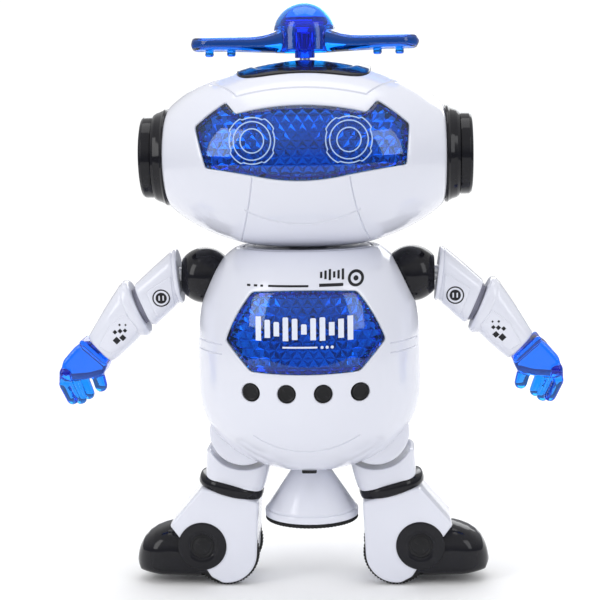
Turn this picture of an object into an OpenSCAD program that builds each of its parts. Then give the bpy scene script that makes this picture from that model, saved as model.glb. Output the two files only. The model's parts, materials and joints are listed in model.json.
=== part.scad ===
// Battery toy robot on wheeled boots, with a rotor on its crown and a spinning drive cone
// under its body. Millimetres, +Z up, front towards -Y, origin on the floor under the body.

/* [Head] */
// Half width of the egg-shaped head before the ears cut it
head_a = 60; // [58:0.5:62]
// Half depth of the head
head_b = 48; // [46:0.5:49]
// Half height of the head
head_c = 35.5; // [35:0.5:36]
// Height of the head's centre above the floor
head_z = 163.7; // [163.5:0.1:164]
// Where the ears cut the head, from the middle
ear_x = 52; // [51:0.5:53]

/* [Torso] */
// Largest radius of the barrel body
torso_r = 42.5; // [42:0.5:44]
// Wall thickness of all shells
wall = 2.2; // [2:0.1:2.4]
// Half width of the chest window
window_w = 29.2; // [28:0.2:30]

/* [Arms] */
// Radius of the black shoulder balls
ball_r = 10.3; // [10:0.1:10.5]
// Downward tilt of the elbow joint, degrees
elbow_tilt = 23.5; // [20:0.5:26]
// Downward tilt of the wrist joint, degrees
wrist_tilt = 43; // [40:1:45]

/* [Legs] */
// Distance of each hip pin from the middle
hip_x = 25; // [24.5:0.5:25.5]
// Height of the hip pins
hip_z = 60; // [59.5:0.5:60]
// Radius of the boot wheels
wheel_r = 12.7; // [12.5:0.1:12.7]
// Half thickness of a boot, front to back
boot_half = 13.6; // [13.5:0.1:14]

/* [Drive cone and rotor] */
// Radius of the rubber ring under the cone
tyre_r = 18; // [17.5:0.5:18]
// Height of the rubber ring's lowest edge above the floor
tyre_z = 23.7; // [23.5:0.1:24]
// Half length of the rotor
rotor_half = 42.8; // [40:0.1:43]

/* [Hidden] */
$fn = 96;
far = 200;                      // reach of the cutting blocks
fit = 0.05;                     // radial clearance of a running fit
right = 1;
left = -1;

// colours
shell_white = [0.93, 0.93, 0.97];
clear_blue = [0.05, 0.2, 0.8, 0.7];
gloss_black = [0.05, 0.05, 0.06];
soft_black = [0.12, 0.12, 0.12];
steel = [0.75, 0.76, 0.78];
gear_cream = [0.9, 0.86, 0.72];
board_green = [0.1, 0.4, 0.2];

// torso barrel
barrel_mid = 78;                // height of the widest ring
barrel_up = 56;                 // height of the upper curve above it
barrel_down = 34;               // depth of the lower curve below it
barrel_top = 129.6;             // where the shoulders are cut flat
barrel_floor = 44.6;            // where the pelvis is cut flat
split_z = 62.8;                 // step between belly and hip bulges
bulge_r = 12.7;
bulge_half = 14.4;              // half depth of the hip bulges
hip_gap_x = 12.8;               // inner face of the space for each thigh
tongue_half = 4;                // half thickness of the thigh's tongue
pin_r = 2.5;
shaft_r = 2;

// chest
window_low = 87;
window_high = 116.2;
window_mid = 98;
plug_pitch = 13.3;
plug_r = 3.15;
plug_z = 79.8;

// case screws, x and z
screw_spots = [[-33, 80], [33, 80], [-33, 103], [33, 103]];

// battery bay and switch
switch_half = 5.2;              // half length of the knob's slot
switch_z = 54.4;
cell_r = 7.2;
cell_h = 50;
cell_y = 24.4;
cell_z = 64;
door_half = 23;
door_low = 62;
door_high = 116;

// gears
tooth_module = 0.8;
output_teeth = 30;
idler_teeth = 24;
pinion_teeth = 10;
mesh_slack = 0.15;              // extra centre distance
gear_z = 74;
gear_h = 4;
idler_y = -(tooth_module * (output_teeth + idler_teeth) / 2 + mesh_slack);
motor_x = tooth_module * (idler_teeth + pinion_teeth) / 2 + mesh_slack;
motor_r = 10;

// neck
collar_r = 24.5;
post_r = 7;
head_floor = 130.2;
washer_z = 133;

ear_plug_r = 12;

// arms
collar_x = 49.9;                // inner face of the upper arm's collar
collar_z = 118.6;
ball_x = 39.4;
neck_r = 7.2;
axle_r = 3;
axle_end = 55.3;                // where the shoulder axle's bore stops
elbow = [65.4, 106.6];          // middle of the elbow gap, x and z
wrist = [81.1, 90];             // middle of the wrist, x and z
elbow_gap = 1.7;                // half of the gap at the elbow

// legs
wheel_x = 32.5;
wheel_in = 7.8;                 // inner and outer face of each wheel, from the boot's middle
wheel_out = 11;
wheel_slack = 0.5;
axle_thin_r = 1.5;
lug_x = 41.5;                   // middle of the round side lug
lug_z = 15.6;
lug_r = 9;
toe_tip = 67.2;                 // foremost point of the toe cap
ring_tilt = 14.7;
ring_x = 30.7;
ring_z = 37.2;

// rotor
rotor_low = 202;
rotor_top = 220;
hub_r = 11;

// ---- shared shapes ----

module front_half() {
  intersection() {
    children();
    translate([-far, -far, -far]) cube([2 * far, far, 2 * far]);
  }
}

module rear_half() {
  intersection() {
    children();
    translate([-far, 0, -far]) cube([2 * far, far, 2 * far]);
  }
}

// pin or bore along Y between two depths
module along_y(x, z, r, y0, y1) {
  translate([x, y0, z]) rotate([-90, 0, 0]) cylinder(r = r, h = y1 - y0);
}

// the same shape at the front and at the back
module both_faces() {
  children();
  mirror([0, 1, 0]) children();
}

module to_side(side) {
  if (side > 0) children();
  else mirror([1, 0, 0]) children();
}

// a block seen from the front, spread from y0 to y1
module front_outline(points, y0, y1) {
  translate([0, y1, 0]) rotate([90, 0, 0]) linear_extrude(y1 - y0) polygon(points);
}

module egg(grow) {
  translate([0, 0, head_z])
    scale([(head_a + grow) / (head_c + grow), (head_b + grow) / (head_c + grow), 1])
      sphere(r = head_c + grow);
}

function barrel_radius(z, grow) = z > barrel_mid
  ? (torso_r + grow) * pow(1 - pow((z - barrel_mid) / (barrel_up + grow), 3.2), 1 / 3.2)
  : (torso_r + grow) * pow(1 - pow((barrel_mid - z) / (barrel_down + grow), 2.2), 1 / 2.2);

module barrel(grow) {
  low = barrel_floor - grow;
  high = barrel_top + grow;
  steps = 30;
  zs = [for (i = [0 : steps]) low + (high - low) * (1 - cos(180 * i / steps)) / 2];
  rotate_extrude()
    polygon(concat([[0, low]], [for (z = zs) [barrel_radius(z, min(grow, 0)), z]], [[0, high]]));
}

// space for each thigh beside the pelvis
module hip_space(side, grow) {
  to_side(side) translate([hip_gap_x - grow, -bulge_half - grow, 40])
    cube([40, 2 * (bulge_half + grow), split_z + grow - 40]);
}

module torso_form(grow) {
  difference() {
    barrel(grow);
    for (side = [left, right]) hip_space(side, -grow);
  }
  // round hip bulges, a little wider than the barrel there
  for (side = [left, right])
    along_y(side * hip_x, hip_z, bulge_r + grow, -bulge_half - grow, bulge_half + grow);
}

// ---- torso ----

module window_outline(grow) {
  w = window_w + grow;
  t = window_w * 0.65 + grow * 0.5;
  front_outline([
    [-w, window_mid], [-t, window_high + grow], [t, window_high + grow],
    [w, window_mid], [t, window_low - grow + 0.6], [0, window_low - grow],
    [-t, window_low - grow + 0.6]
  ], -60, -20);
}

// room for the thigh's tongue over its whole swing
module tongue_slot(side) {
  to_side(side)
    translate([18, -tongue_half - 0.4, 40]) cube([24, 2 * tongue_half + 0.8, 18.2]);
}

module torso_shell() {
  difference() {
    union() {
      difference() {
        torso_form(0);
        torso_form(-wall);
      }
      // bosses for the hip pins
      for (side = [left, right]) {
        both_faces() along_y(side * hip_x, hip_z, 4.5, tongue_half + 0.6, bulge_half - 1);
      }
      // bosses for the case screws
      intersection() {
        torso_form(-1);
        for (p = screw_spots) along_y(p[0], p[1], 3.4, -30, 30);
      }
      // pillars under the gearbox
      intersection() {
        torso_form(-1);
        for (p = [[-9.5, 13], [9.5, 13], [0, -30]])
          translate([p[0], p[1], 40]) cylinder(r = 2, h = gear_z - 3.5 - 40);
      }
    }
    for (side = [left, right]) {
      tongue_slot(side);
      along_y(side * hip_x, hip_z, pin_r, -bulge_half + 2, bulge_half - 2);
      // shoulder sockets
      translate([side * ball_x, 0, collar_z]) sphere(r = ball_r);
    }
    // neck opening and drive shaft bearing
    translate([0, 0, barrel_top - 5]) cylinder(r = collar_r, h = 10);
    translate([0, 0, 40]) cylinder(r = shaft_r + fit, h = 10);
    // screw bores, with a wider seat for each head
    for (p = screw_spots) {
      along_y(p[0], p[1], 1.2, -12, 30);
      along_y(p[0], p[1], 2.7, 14, 60);
    }
  }
}

module torso_front_shell() {
  color(shell_white) front_half() difference() {
    torso_shell();
    window_outline(0);
    for (i = [-1.5 : 1.5]) along_y(i * plug_pitch, plug_z, plug_r, -60, -20);
  }
}

// floor and roof of the battery bay, short of the door
module battery_shelves() {
  difference() {
    intersection() {
      torso_form(-1);
      for (z = [cell_z - 2.8, cell_z + cell_h + 0.6]) translate([-32, 14, z]) cube([64, 40, 2.2]);
    }
    difference() {
      door_block(0.3);
      barrel(-wall - 0.4);
    }
  }
}

module door_block(grow) {
  translate([-door_half - grow, 20, door_low - grow])
    cube([2 * (door_half + grow), 40, door_high - door_low + 2 * grow]);
}

module torso_rear_shell() {
  color(shell_white) rear_half() difference() {
    union() {
      difference() {
        torso_shell();
        door_block(0.25);
      }
      battery_shelves();
    }
    // slot for the switch knob
    translate([-switch_half, 25, switch_z]) cube([2 * switch_half, 20, 3.6]);
    // sound slots
    for (i = [-2 : 2]) translate([3.4 * i - 0.7, 20, 119]) cube([1.4, 30, 5 - abs(i)]);
  }
}

module chest_window() {
  color(clear_blue) intersection() {
    difference() {
      barrel(0.01);
      barrel(-1.8);
    }
    window_outline(-0.05);
  }
}

module window_reflector() {
  color([0.7, 0.75, 0.85]) intersection() {
    difference() {
      barrel(-wall - 0.3);
      barrel(-wall - 1.3);
    }
    window_outline(-1);
  }
}

module chest_plugs() {
  color(soft_black) for (i = [-1.5 : 1.5]) {
    face = -sqrt(pow(barrel_radius(plug_z, 0), 2) - pow(i * plug_pitch, 2));
    along_y(i * plug_pitch, plug_z, plug_r - 0.05, face - 0.2, face + 4);
  }
}

module main_board() {
  color(board_green) {
    translate([-12, -34.8, 89]) cube([24, 1.6, 17]);
    // chest lamp
    translate([0, -34.8, 98]) rotate([90, 0, 0]) cylinder(r = 2.5, h = 2);
  }
}

module speaker() {
  color(soft_black) translate([-24, 0, 87]) {
    cylinder(r = 9, h = 6);
    translate([0, 0, 6]) cylinder(r = 5, h = 4);
  }
}

module battery_cells() {
  color([0.35, 0.35, 0.4]) for (i = [-1 : 1]) translate([i * 15, cell_y, cell_z]) {
    cylinder(r = cell_r, h = cell_h - 1.5);
    translate([0, 0, cell_h - 1.5]) cylinder(r = 2.6, h = 1.5);
  }
}

module battery_contacts() {
  color(steel) for (i = [-1 : 1]) for (end = [cell_z - 0.6, cell_z + cell_h])
    translate([i * 15 - 5, cell_y - 5, end]) cube([10, 10, 0.6]);
}

module battery_door() {
  color(shell_white) difference() {
    intersection() {
      difference() {
        barrel(0.01);
        barrel(-wall);
      }
      door_block(0);
    }
    along_y(0, door_low + 4, 1.6, 20, 60);
  }
}

module battery_door_screw() {
  color(steel) along_y(0, door_low + 4, 1.5, 33, barrel_radius(door_low + 4, 0) - 1);
}

module switch_body() {
  color(soft_black) difference() {
    translate([-8, 18, switch_z - 0.9]) cube([16, 8, 5.4]);
    translate([-switch_half, 22.2, switch_z]) cube([2 * switch_half, 8, 3.6]);
  }
}

module switch_knob() {
  color(soft_black) translate([0.6 - switch_half, 22.5, switch_z + 0.3]) cube([3.4, 13, 3]);
}

module gearbox_frame() {
  color([0.6, 0.62, 0.66]) difference() {
    union() {
      for (z = [gear_z - 3.5, gear_z + gear_h + 1.5]) hull() {
        translate([0, 0, z]) cylinder(r = 16.8, h = 2, $fn = 32);
        translate([0, idler_y, z]) cylinder(r = 15.4, h = 2, $fn = 32);
        translate([motor_x, idler_y, z]) cylinder(r = 12, h = 2, $fn = 32);
      }
      for (p = [[-9.5, 12.6], [9.5, 12.6], [-13.2, idler_y - 1], [motor_x + 7.7, idler_y - 6.2]])
        translate([p[0], p[1], gear_z - 2]) cylinder(r = 1.8, h = gear_h + 4);
    }
    translate([0, 0, gear_z - 10]) cylinder(r = shaft_r + fit, h = 30);
    translate([0, idler_y, gear_z - 10]) cylinder(r = shaft_r + fit, h = 30);
    translate([motor_x, idler_y, gear_z - 10]) cylinder(r = 1.6, h = 30);
  }
}

module motor() {
  color(steel) translate([motor_x, idler_y, gear_z + gear_h + 3.5]) difference() {
    cylinder(r = motor_r, h = 25);
    translate([0, 0, -1]) cylinder(r = 1 + fit, h = 10);
  }
}

// spur gear with straight-flanked teeth, first tooth centred on angle phase
module gear(teeth, phase, bore) {
  pitch = tooth_module * teeth / 2;
  root = pitch - 1.2 * tooth_module;
  tip = pitch + 0.9 * tooth_module;
  difference() {
    union() {
      cylinder(r = root, h = gear_h);
      for (i = [0 : teeth - 1]) rotate(phase + i * 360 / teeth) linear_extrude(gear_h) polygon([
        [root - 0.5, -0.75], [root, -0.7], [tip, -0.28], [tip, 0.28], [root, 0.7], [root - 0.5, 0.75]
      ]);
    }
    translate([0, 0, -1]) cylinder(r = bore, h = gear_h + 2);
  }
}

module output_gear() {
  color(gear_cream) translate([0, 0, gear_z]) gear(output_teeth, -90, shaft_r);
}

module idler_gear() {
  color(gear_cream) translate([0, idler_y, 0]) {
    translate([0, 0, gear_z]) gear(idler_teeth, 90 + 180 / idler_teeth, shaft_r - 0.5);
    translate([0, 0, gear_z - 3]) cylinder(r = shaft_r, h = gear_h + 6);
  }
}

module motor_pinion() {
  color(gear_cream) translate([motor_x, idler_y, 0]) {
    translate([0, 0, gear_z]) gear(pinion_teeth, 180, 0.8);
    translate([0, 0, gear_z - 2]) cylinder(r = 1, h = gear_h + 13);
  }
}

module drive_shaft() {
  color(steel) difference() {
    translate([0, 0, tyre_z + 2.5]) cylinder(r = shaft_r, h = gear_z + gear_h + 3.3 - tyre_z - 2.5);
    translate([0, 0, tyre_z + 2]) cylinder(r = 0.9, h = 8);
  }
}

module drive_cone() {
  top = 44.2;
  rim = tyre_z + 3.3;
  color(shell_white) rotate_extrude() polygon([
    [shaft_r, top], [6.6, top], [7.2, top - 0.5], [tyre_r - 0.7, rim + 1.4], [tyre_r - 0.1, rim + 0.8],
    [tyre_r - 0.1, rim], [tyre_r - 3.2, rim], [tyre_r - 3.2, rim + 0.6], [7.6, top - 6],
    [5, top - 6], [5, rim + 1], [shaft_r, rim + 1]
  ]);
}

module cone_plate() {
  color(shell_white) difference() {
    translate([0, 0, tyre_z + 0.8]) cylinder(r = tyre_r - 3.2, h = 1.7);
    translate([0, 0, tyre_z]) cylinder(r = 1.2, h = 5);
  }
}

module cone_tyre() {
  ribs = 72;
  color(soft_black) difference() {
    translate([0, 0, tyre_z]) cylinder(r = tyre_r, h = 3.3);
    translate([0, 0, tyre_z - 1]) cylinder(r = tyre_r - 3.2, h = 6);
    for (i = [0 : ribs - 1]) rotate(i * 360 / ribs)
      translate([tyre_r - 0.4, -0.35, tyre_z - 1]) cube([1, 0.7, 3.4]);
  }
}

module neck_collar() {
  color(shell_white) difference() {
    union() {
      translate([0, 0, barrel_top - 2.2]) cylinder(r = collar_r - 0.05, h = 2.2);
      translate([0, 0, barrel_top - 2.2]) cylinder(r = post_r, h = washer_z + 2.2 - barrel_top);
    }
    translate([0, 0, barrel_top - 10]) cylinder(r = 4, h = 12);
    translate([0, 0, barrel_top]) cylinder(r = 1.3, h = 6);
  }
}

module neck_washer() {
  color(steel) {
    translate([0, 0, washer_z]) cylinder(r = 11, h = 1.2);
    translate([0, 0, washer_z - 2]) cylinder(r = 1.3, h = 2);
    translate([0, 0, washer_z + 1.2]) cylinder(r = 2.6, h = 1.6);
  }
}

module torso_screws() {
  color(steel) for (p = screw_spots) {
    along_y(p[0], p[1], 1.2, -10, 14);
    along_y(p[0], p[1], 2.6, 14, 16);
  }
}

// ---- head ----

module visor_outline(grow) {
  g = grow;
  front_outline([
    [-38.4 - g, 175.6], [-27.1, 184.1 + g], [-23.3, 179.9 + g], [-12, 182.2 + g], [0, 182.8 + g],
    [12, 182.2 + g], [23.3, 179.9 + g], [27.1, 184.1 + g], [38.4 + g, 175.6],
    [37.3 + g, 161.1 - g], [16.2, 158 - g], [0, 156.2 - g], [-16.2, 158 - g], [-37.3 - g, 161.1 - g]
  ], -60, -15);
}

module head_shell() {
  difference() {
    egg(0);
    difference() {
      egg(-wall);
      // floor plate round the neck
      translate([-40, -40, head_floor - 1]) cube([80, 80, 3.2]);
      // side walls behind the ears
      for (side = [left, right])
        translate([side * (ear_x - wall + 20), 0, head_z]) cube([40, 120, 80], true);
    }
    for (side = [left, right]) translate([side * (ear_x + 20), 0, head_z]) cube([40, 120, 80], true);
    translate([0, 0, head_z]) rotate([0, 90, 0]) cylinder(r = ear_plug_r + 0.05, h = far, center = true);
    translate([-50, -50, head_floor - 20]) cube([100, 100, 20]);
    translate([0, 0, head_floor - 1]) cylinder(r = post_r + fit, h = 10);
    crest_space(0.05);
  }
}

module crest_space(grow) {
  translate([0, 0, head_z + head_c - 12]) linear_extrude(30)
    scale([(26 + grow) / (22 + grow), 1]) circle(r = 22 + grow);
}

module head_front_shell() {
  color(shell_white) front_half() difference() {
    head_shell();
    visor_outline(0);
  }
}

module head_rear_shell() {
  color(shell_white) rear_half() head_shell();
}

module visor() {
  color(clear_blue) intersection() {
    difference() {
      egg(-0.2);
      egg(-2);
    }
    visor_outline(-0.05);
  }
}

module visor_reflector() {
  color([0.7, 0.75, 0.85]) intersection() {
    difference() {
      egg(-wall - 0.4);
      egg(-wall - 1.4);
    }
    visor_outline(-1);
  }
}

module head_board() {
  color(board_green) {
    translate([-26, -30, 160]) cube([52, 1.6, 20]);
    // eye lamps
    for (side = [left, right]) along_y(side * 17, 170.4, 2.5, -34, -30);
  }
}

module ear_flanges() {
  color(gloss_black) for (side = [left, right]) to_side(side)
    translate([ear_x, 0, head_z]) rotate([0, 90, 0]) rotate_extrude() polygon([
      [0, -3], [ear_plug_r, -3], [ear_plug_r, 0], [17.6, 0], [18.2, 0.6], [17.2, 3.2], [15.8, 5.4], [0, 5.4]
    ]);
}

module ear_caps() {
  color(soft_black) for (side = [left, right]) to_side(side)
    translate([ear_x + 5.4, 0, head_z]) rotate([0, 90, 0]) rotate_extrude() polygon([
      [0, 0], [15.2, 0], [15.2, 3.2], [14.4, 4.2], [11, 4.7], [0, 4.7]
    ]);
}

module crest_dish() {
  color(gloss_black) difference() {
    intersection() {
      difference() {
        egg(0.5);
        egg(-1.6);
      }
      crest_space(0);
    }
    translate([0, 0, 190]) cylinder(r = 3.2, h = 20);
  }
}

module rotor_post() {
  color(steel) {
    translate([0, 0, 195.6]) cylinder(r = shaft_r - fit, h = 13.4);
    translate([0, 0, 195.6]) cylinder(r = 5, h = 1.7);
    translate([0, 0, 197.3]) cylinder(r = 3.15, h = 2.6);
  }
}

// ---- rotor ----

module rotor() {
  blade_h = 4.6;
  color(clear_blue) difference() {
    union() {
      intersection() {
        translate([0, 0, rotor_top - hub_r]) sphere(r = hub_r);
        translate([-20, -20, rotor_top - hub_r - 1]) cube([40, 40, 20]);
      }
      translate([0, 0, rotor_low]) cylinder(r = hub_r, h = rotor_top - hub_r - rotor_low);
      translate([0, 0, rotor_low - 1]) cylinder(r = 3.7, h = 2);
      for (side = [left, right]) {
        hull() {
          translate([side * (rotor_half - 9), 0, rotor_low + 1]) cylinder(r = 9, h = blade_h, $fn = 40);
          translate([side * 6, 0, rotor_low]) cylinder(r = 8, h = blade_h + 3, $fn = 32);
        }
        for (x = [26, 34]) translate([side * x, 0, rotor_low - 0.6]) cylinder(r = 1.4, h = 2);
      }
    }
    translate([0, 0, rotor_low - 2]) cylinder(r = shaft_r, h = 10);
  }
}

// ---- arms, drawn for the right side ----

module shoulder_ball(side) {
  color(gloss_black) to_side(side) difference() {
    union() {
      translate([ball_x, 0, collar_z]) sphere(r = ball_r);
      translate([ball_x, 0, collar_z]) rotate([0, 90, 0]) cylinder(r = neck_r, h = collar_x + 1.4 - ball_x);
    }
    translate([ball_x - 20, 0, collar_z]) rotate([0, 90, 0]) cylinder(r = axle_r + fit, h = 50);
    // flat seat for the axle's head
    translate([ball_x - 20, -20, collar_z - 20]) cube([12, 40, 40]);
  }
}

module shoulder_axle(side) {
  color(steel) to_side(side) {
    translate([ball_x - 8.1, 0, collar_z]) rotate([0, 90, 0]) cylinder(r = axle_r, h = 24);
    translate([ball_x - 10.1, 0, collar_z]) rotate([0, 90, 0]) cylinder(r = 5, h = 2);
  }
}

// place a shape on a tilted arm joint, local +Z along the arm outwards
module on_joint(spot, tilt) {
  translate([spot[0], 0, spot[1]]) rotate([0, 90 + tilt, 0]) children();
}

// rounded rectangle slab: h across the arm in the front view, d front to back
module arm_slab(h, d, corner, thick) {
  for (sx = [-1, 1]) for (sy = [-1, 1])
    translate([sx * (h / 2 - corner), sy * (d / 2 - corner), 0])
      cylinder(r = corner, h = thick, $fn = 32);
}

module upper_arm(side) {
  color(shell_white) to_side(side) difference() {
    hull() {
      translate([collar_x, 0, collar_z]) rotate([0, 90, 0]) cylinder(r = ball_r, h = 1.6, $fn = 48);
      on_joint(elbow, elbow_tilt) translate([0, 0, -elbow_gap - 2]) arm_slab(16.4, 17, 6, 2);
    }
    // recess for the ball's neck, axle bore, elbow pin bore
    translate([collar_x - 1, 0, collar_z]) rotate([0, 90, 0]) cylinder(r = neck_r + 0.6, h = 3);
    translate([collar_x, 0, collar_z]) rotate([0, 90, 0]) cylinder(r = axle_r, h = axle_end - collar_x);
    on_joint(elbow, elbow_tilt) translate([0, 0, -8]) cylinder(r = pin_r, h = 12);
  }
}

module elbow_pin(side) {
  color([0.45, 0.45, 0.52]) to_side(side) on_joint(elbow, elbow_tilt) {
    translate([0, 0, -8]) cylinder(r = pin_r, h = 18);
    translate([0, 0, -elbow_gap]) cylinder(r = 7, h = 2 * elbow_gap - 0.3);
  }
}

module forearm(side) {
  color(shell_white) to_side(side) difference() {
    hull() {
      on_joint(elbow, elbow_tilt) translate([0, 0, elbow_gap]) arm_slab(22, 19, 8, 1.6);
      on_joint(wrist, wrist_tilt) translate([0, 0, -1.2]) arm_slab(12.8, 13, 6, 1);
    }
    on_joint(elbow, elbow_tilt) cylinder(r = pin_r + fit, h = 10.2);
    on_joint(wrist, wrist_tilt) translate([0, 0, -7]) cylinder(r = 2 + fit, h = 10);
  }
}

module finger(points, y, r) {
  for (i = [0 : len(points) - 2]) hull() {
    for (p = [points[i], points[i + 1]])
      translate([wrist[0] + p[0], y, wrist[1] + p[1]]) sphere(r = r, $fn = 20);
  }
}

module hand(side) {
  color(clear_blue) to_side(side) {
    on_joint(wrist, wrist_tilt) translate([0, 0, -6.8]) cylinder(r = 2, h = 10);
    intersection() {
      translate([wrist[0], 0, wrist[1]]) front_outline([
        [3.4, 3.1], [7.6, 0.9], [11.4, -3.6], [13, -8.6], [12, -11.2], [4.6, -10.6],
        [-1.6, -9.4], [-3.4, -3.1]
      ], -8, 8);
      on_joint(wrist, wrist_tilt) cylinder(r = 8, h = 30);
    }
    finger([[10.2, -9.6], [11.3, -12], [8.8, -18.2]], -5, 2.3);
    finger([[8.6, -9.6], [6.6, -18.4]], 0, 2.3);
    finger([[7.2, -9.6], [4.6, -17.2]], 4.8, 2.3);
    finger([[0.6, -8.6], [0.4, -13]], -3.6, 2.4);
  }
}

// ---- legs, drawn for the right side ----

module hip_pins() {
  color(steel) for (side = [left, right])
    along_y(side * hip_x, hip_z, pin_r - 0.02, -bulge_half + 2.2, bulge_half - 2.2);
}

module thigh(side) {
  saddle_r = bulge_r + 1.6;
  color(shell_white) to_side(side) difference() {
    union() {
      difference() {
        front_outline([
          [14.6, 50], [14.6, 48.4], [18.3, 35.85], [40.4, 41.65], [40.9, 50.6], [37.6, 52.6], [36, 56]
        ], -12, 12);
        along_y(hip_x, hip_z, saddle_r, -far, far);
      }
      // tongue and eye round the hip pin
      translate([hip_x - 4.5, -tongue_half, 44]) cube([9, 2 * tongue_half, hip_z - 44]);
      along_y(hip_x, hip_z, 5, -tongue_half, tongue_half);
    }
    along_y(hip_x, hip_z, pin_r + fit, -20, 20);
  }
}

module ankle_ring(side) {
  color(gloss_black) to_side(side) translate([ring_x, 0, ring_z]) rotate([0, -ring_tilt, 0])
    linear_extrude(3.6, center = true) scale([12, 13.2]) circle(r = 1);
}

function boot_profile() = concat(
  [[19.9, 32.5], [41.2, 38.1], [42, 37.4], [54, 23.7], [50.2, 18.6], [42, 9], [38.4, 3.4], [35, 1.6]],
  [for (a = [280 : -10 : 180]) [wheel_x + 11.7 * cos(a), wheel_r + 11.7 * sin(a)]]
);

module wheel_slots() {
  both_faces() along_y(wheel_x, wheel_r, wheel_r + wheel_slack, wheel_in - 0.4, wheel_out + 0.4);
}

module boot_shells(side) {
  color(shell_white) to_side(side) difference() {
    front_outline(boot_profile(), -boot_half + 0.8, boot_half - 0.8);
    // wheel slots and axle bore
    wheel_slots();
    along_y(wheel_x, wheel_r, axle_thin_r + fit, -wheel_out - 1, wheel_out + 1);
    // seats for the round lugs of the toe cap
    both_faces() along_y(lug_x, lug_z, lug_r + 0.05, boot_half - 1.4, far);
  }
}

module toe_cap(side) {
  toe_half = boot_half - 1.1;
  color(gloss_black) to_side(side) {
    difference() {
      toe_body(toe_half);
      wheel_slots();
    }
    both_faces() difference() {
      along_y(lug_x, lug_z, lug_r, boot_half - 1.4, boot_half - 0.2);
      along_y(lug_x, lug_z, 4.6, boot_half - 1, far);
    }
  }
}

module toe_body(toe_half) {
  intersection() {
    front_outline([
      [54, 23.6], [50.25, 18.6], [42.05, 9], [38.5, 3.4], [44, 2.6], [58, 3], [65.6, 4.2],
      [toe_tip, 7.6], [66.8, 10.6], [64.6, 14.8], [61, 18.8], [57.4, 22]
    ], -toe_half, toe_half);
    union() {
      translate([30, -toe_half, 0]) cube([toe_tip - 30 - toe_half, 2 * toe_half, 40]);
      translate([toe_tip - toe_half, 0, 0]) cylinder(r = toe_half, h = 40);
    }
  }
}

module boot_caps(side) {
  color(gloss_black) to_side(side) both_faces() {
    along_y(lug_x, lug_z, 4.5, boot_half - 1, boot_half - 0.4);
    intersection() {
      translate([lug_x, boot_half - 3.6, lug_z]) sphere(r = 4.8);
      along_y(lug_x, lug_z, 3.6, boot_half - 0.6, far);
    }
  }
}

module boot_wheels(side) {
  ribs = 60;
  color(soft_black) to_side(side) {
    along_y(wheel_x, wheel_r, axle_thin_r, -wheel_out - 0.8, wheel_out + 0.8);
    both_faces() difference() {
      along_y(wheel_x, wheel_r, wheel_r, wheel_in, wheel_out);
      for (i = [0 : ribs - 1]) translate([wheel_x, 0, wheel_r]) rotate([0, (i + 0.5) * 360 / ribs, 0])
        translate([wheel_r - 0.35, wheel_in - 1, -0.3]) cube([1, 10, 0.6]);
    }
  }
}

torso_front_shell();
torso_rear_shell();
chest_window();
window_reflector();
chest_plugs();
main_board();
speaker();
battery_cells();
battery_contacts();
battery_door();
battery_door_screw();
switch_body();
switch_knob();
gearbox_frame();
motor();
motor_pinion();
idler_gear();
output_gear();
drive_shaft();
drive_cone();
cone_plate();
cone_tyre();
neck_collar();
neck_washer();
torso_screws();
head_front_shell();
head_rear_shell();
visor();
visor_reflector();
head_board();
ear_flanges();
ear_caps();
crest_dish();
rotor_post();
rotor();
shoulder_ball(right);  // shoulder_ball_right
shoulder_axle(right);  // shoulder_axle_right
upper_arm(right);  // upper_arm_right
elbow_pin(right);  // elbow_pin_right
forearm(right);  // forearm_right
hand(right);  // hand_right
shoulder_ball(left);  // shoulder_ball_left
shoulder_axle(left);  // shoulder_axle_left
upper_arm(left);  // upper_arm_left
elbow_pin(left);  // elbow_pin_left
forearm(left);  // forearm_left
hand(left);  // hand_left
hip_pins();
thigh(right);  // thigh_right
ankle_ring(right);  // ankle_ring_right
boot_shells(right);  // boot_shells_right
toe_cap(right);  // toe_cap_right
boot_caps(right);  // boot_caps_right
boot_wheels(right);  // boot_wheels_right
thigh(left);  // thigh_left
ankle_ring(left);  // ankle_ring_left
boot_shells(left);  // boot_shells_left
toe_cap(left);  // toe_cap_left
boot_caps(left);  // boot_caps_left
boot_wheels(left);  // boot_wheels_left
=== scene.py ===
import json
import math

import bmesh
import bpy
import numpy as np
from mathutils import Matrix, Vector
from mathutils.bvhtree import BVHTree
from mathutils.geometry import delaunay_2d_cdt
from mathutils.kdtree import KDTree


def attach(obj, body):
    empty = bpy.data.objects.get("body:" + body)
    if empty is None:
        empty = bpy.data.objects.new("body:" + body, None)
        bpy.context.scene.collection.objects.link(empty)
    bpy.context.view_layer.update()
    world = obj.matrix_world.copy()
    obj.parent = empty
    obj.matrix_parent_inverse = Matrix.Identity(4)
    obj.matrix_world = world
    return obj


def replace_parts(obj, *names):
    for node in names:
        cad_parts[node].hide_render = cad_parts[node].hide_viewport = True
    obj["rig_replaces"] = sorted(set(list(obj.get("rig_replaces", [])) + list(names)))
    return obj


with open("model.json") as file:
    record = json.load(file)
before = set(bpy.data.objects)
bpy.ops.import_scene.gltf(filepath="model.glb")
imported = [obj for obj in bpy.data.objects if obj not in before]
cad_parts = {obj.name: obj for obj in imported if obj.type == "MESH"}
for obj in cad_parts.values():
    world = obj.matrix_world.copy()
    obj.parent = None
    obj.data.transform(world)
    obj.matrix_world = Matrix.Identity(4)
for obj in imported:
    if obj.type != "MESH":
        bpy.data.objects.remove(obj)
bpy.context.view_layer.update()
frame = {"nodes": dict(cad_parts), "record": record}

mm = 0.001
scene = bpy.context.scene

# camera, light and floor

cameraSetup = {
    "turn": 2.93,       # degrees round the robot
    "roll": -0.945,
    "height": 183.2,    # millimetres from here down
    "distance": 598.0,
    "sideStep": -3.31,
    "aimHeight": 108.64,
    "lens": 94.73,
}


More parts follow.
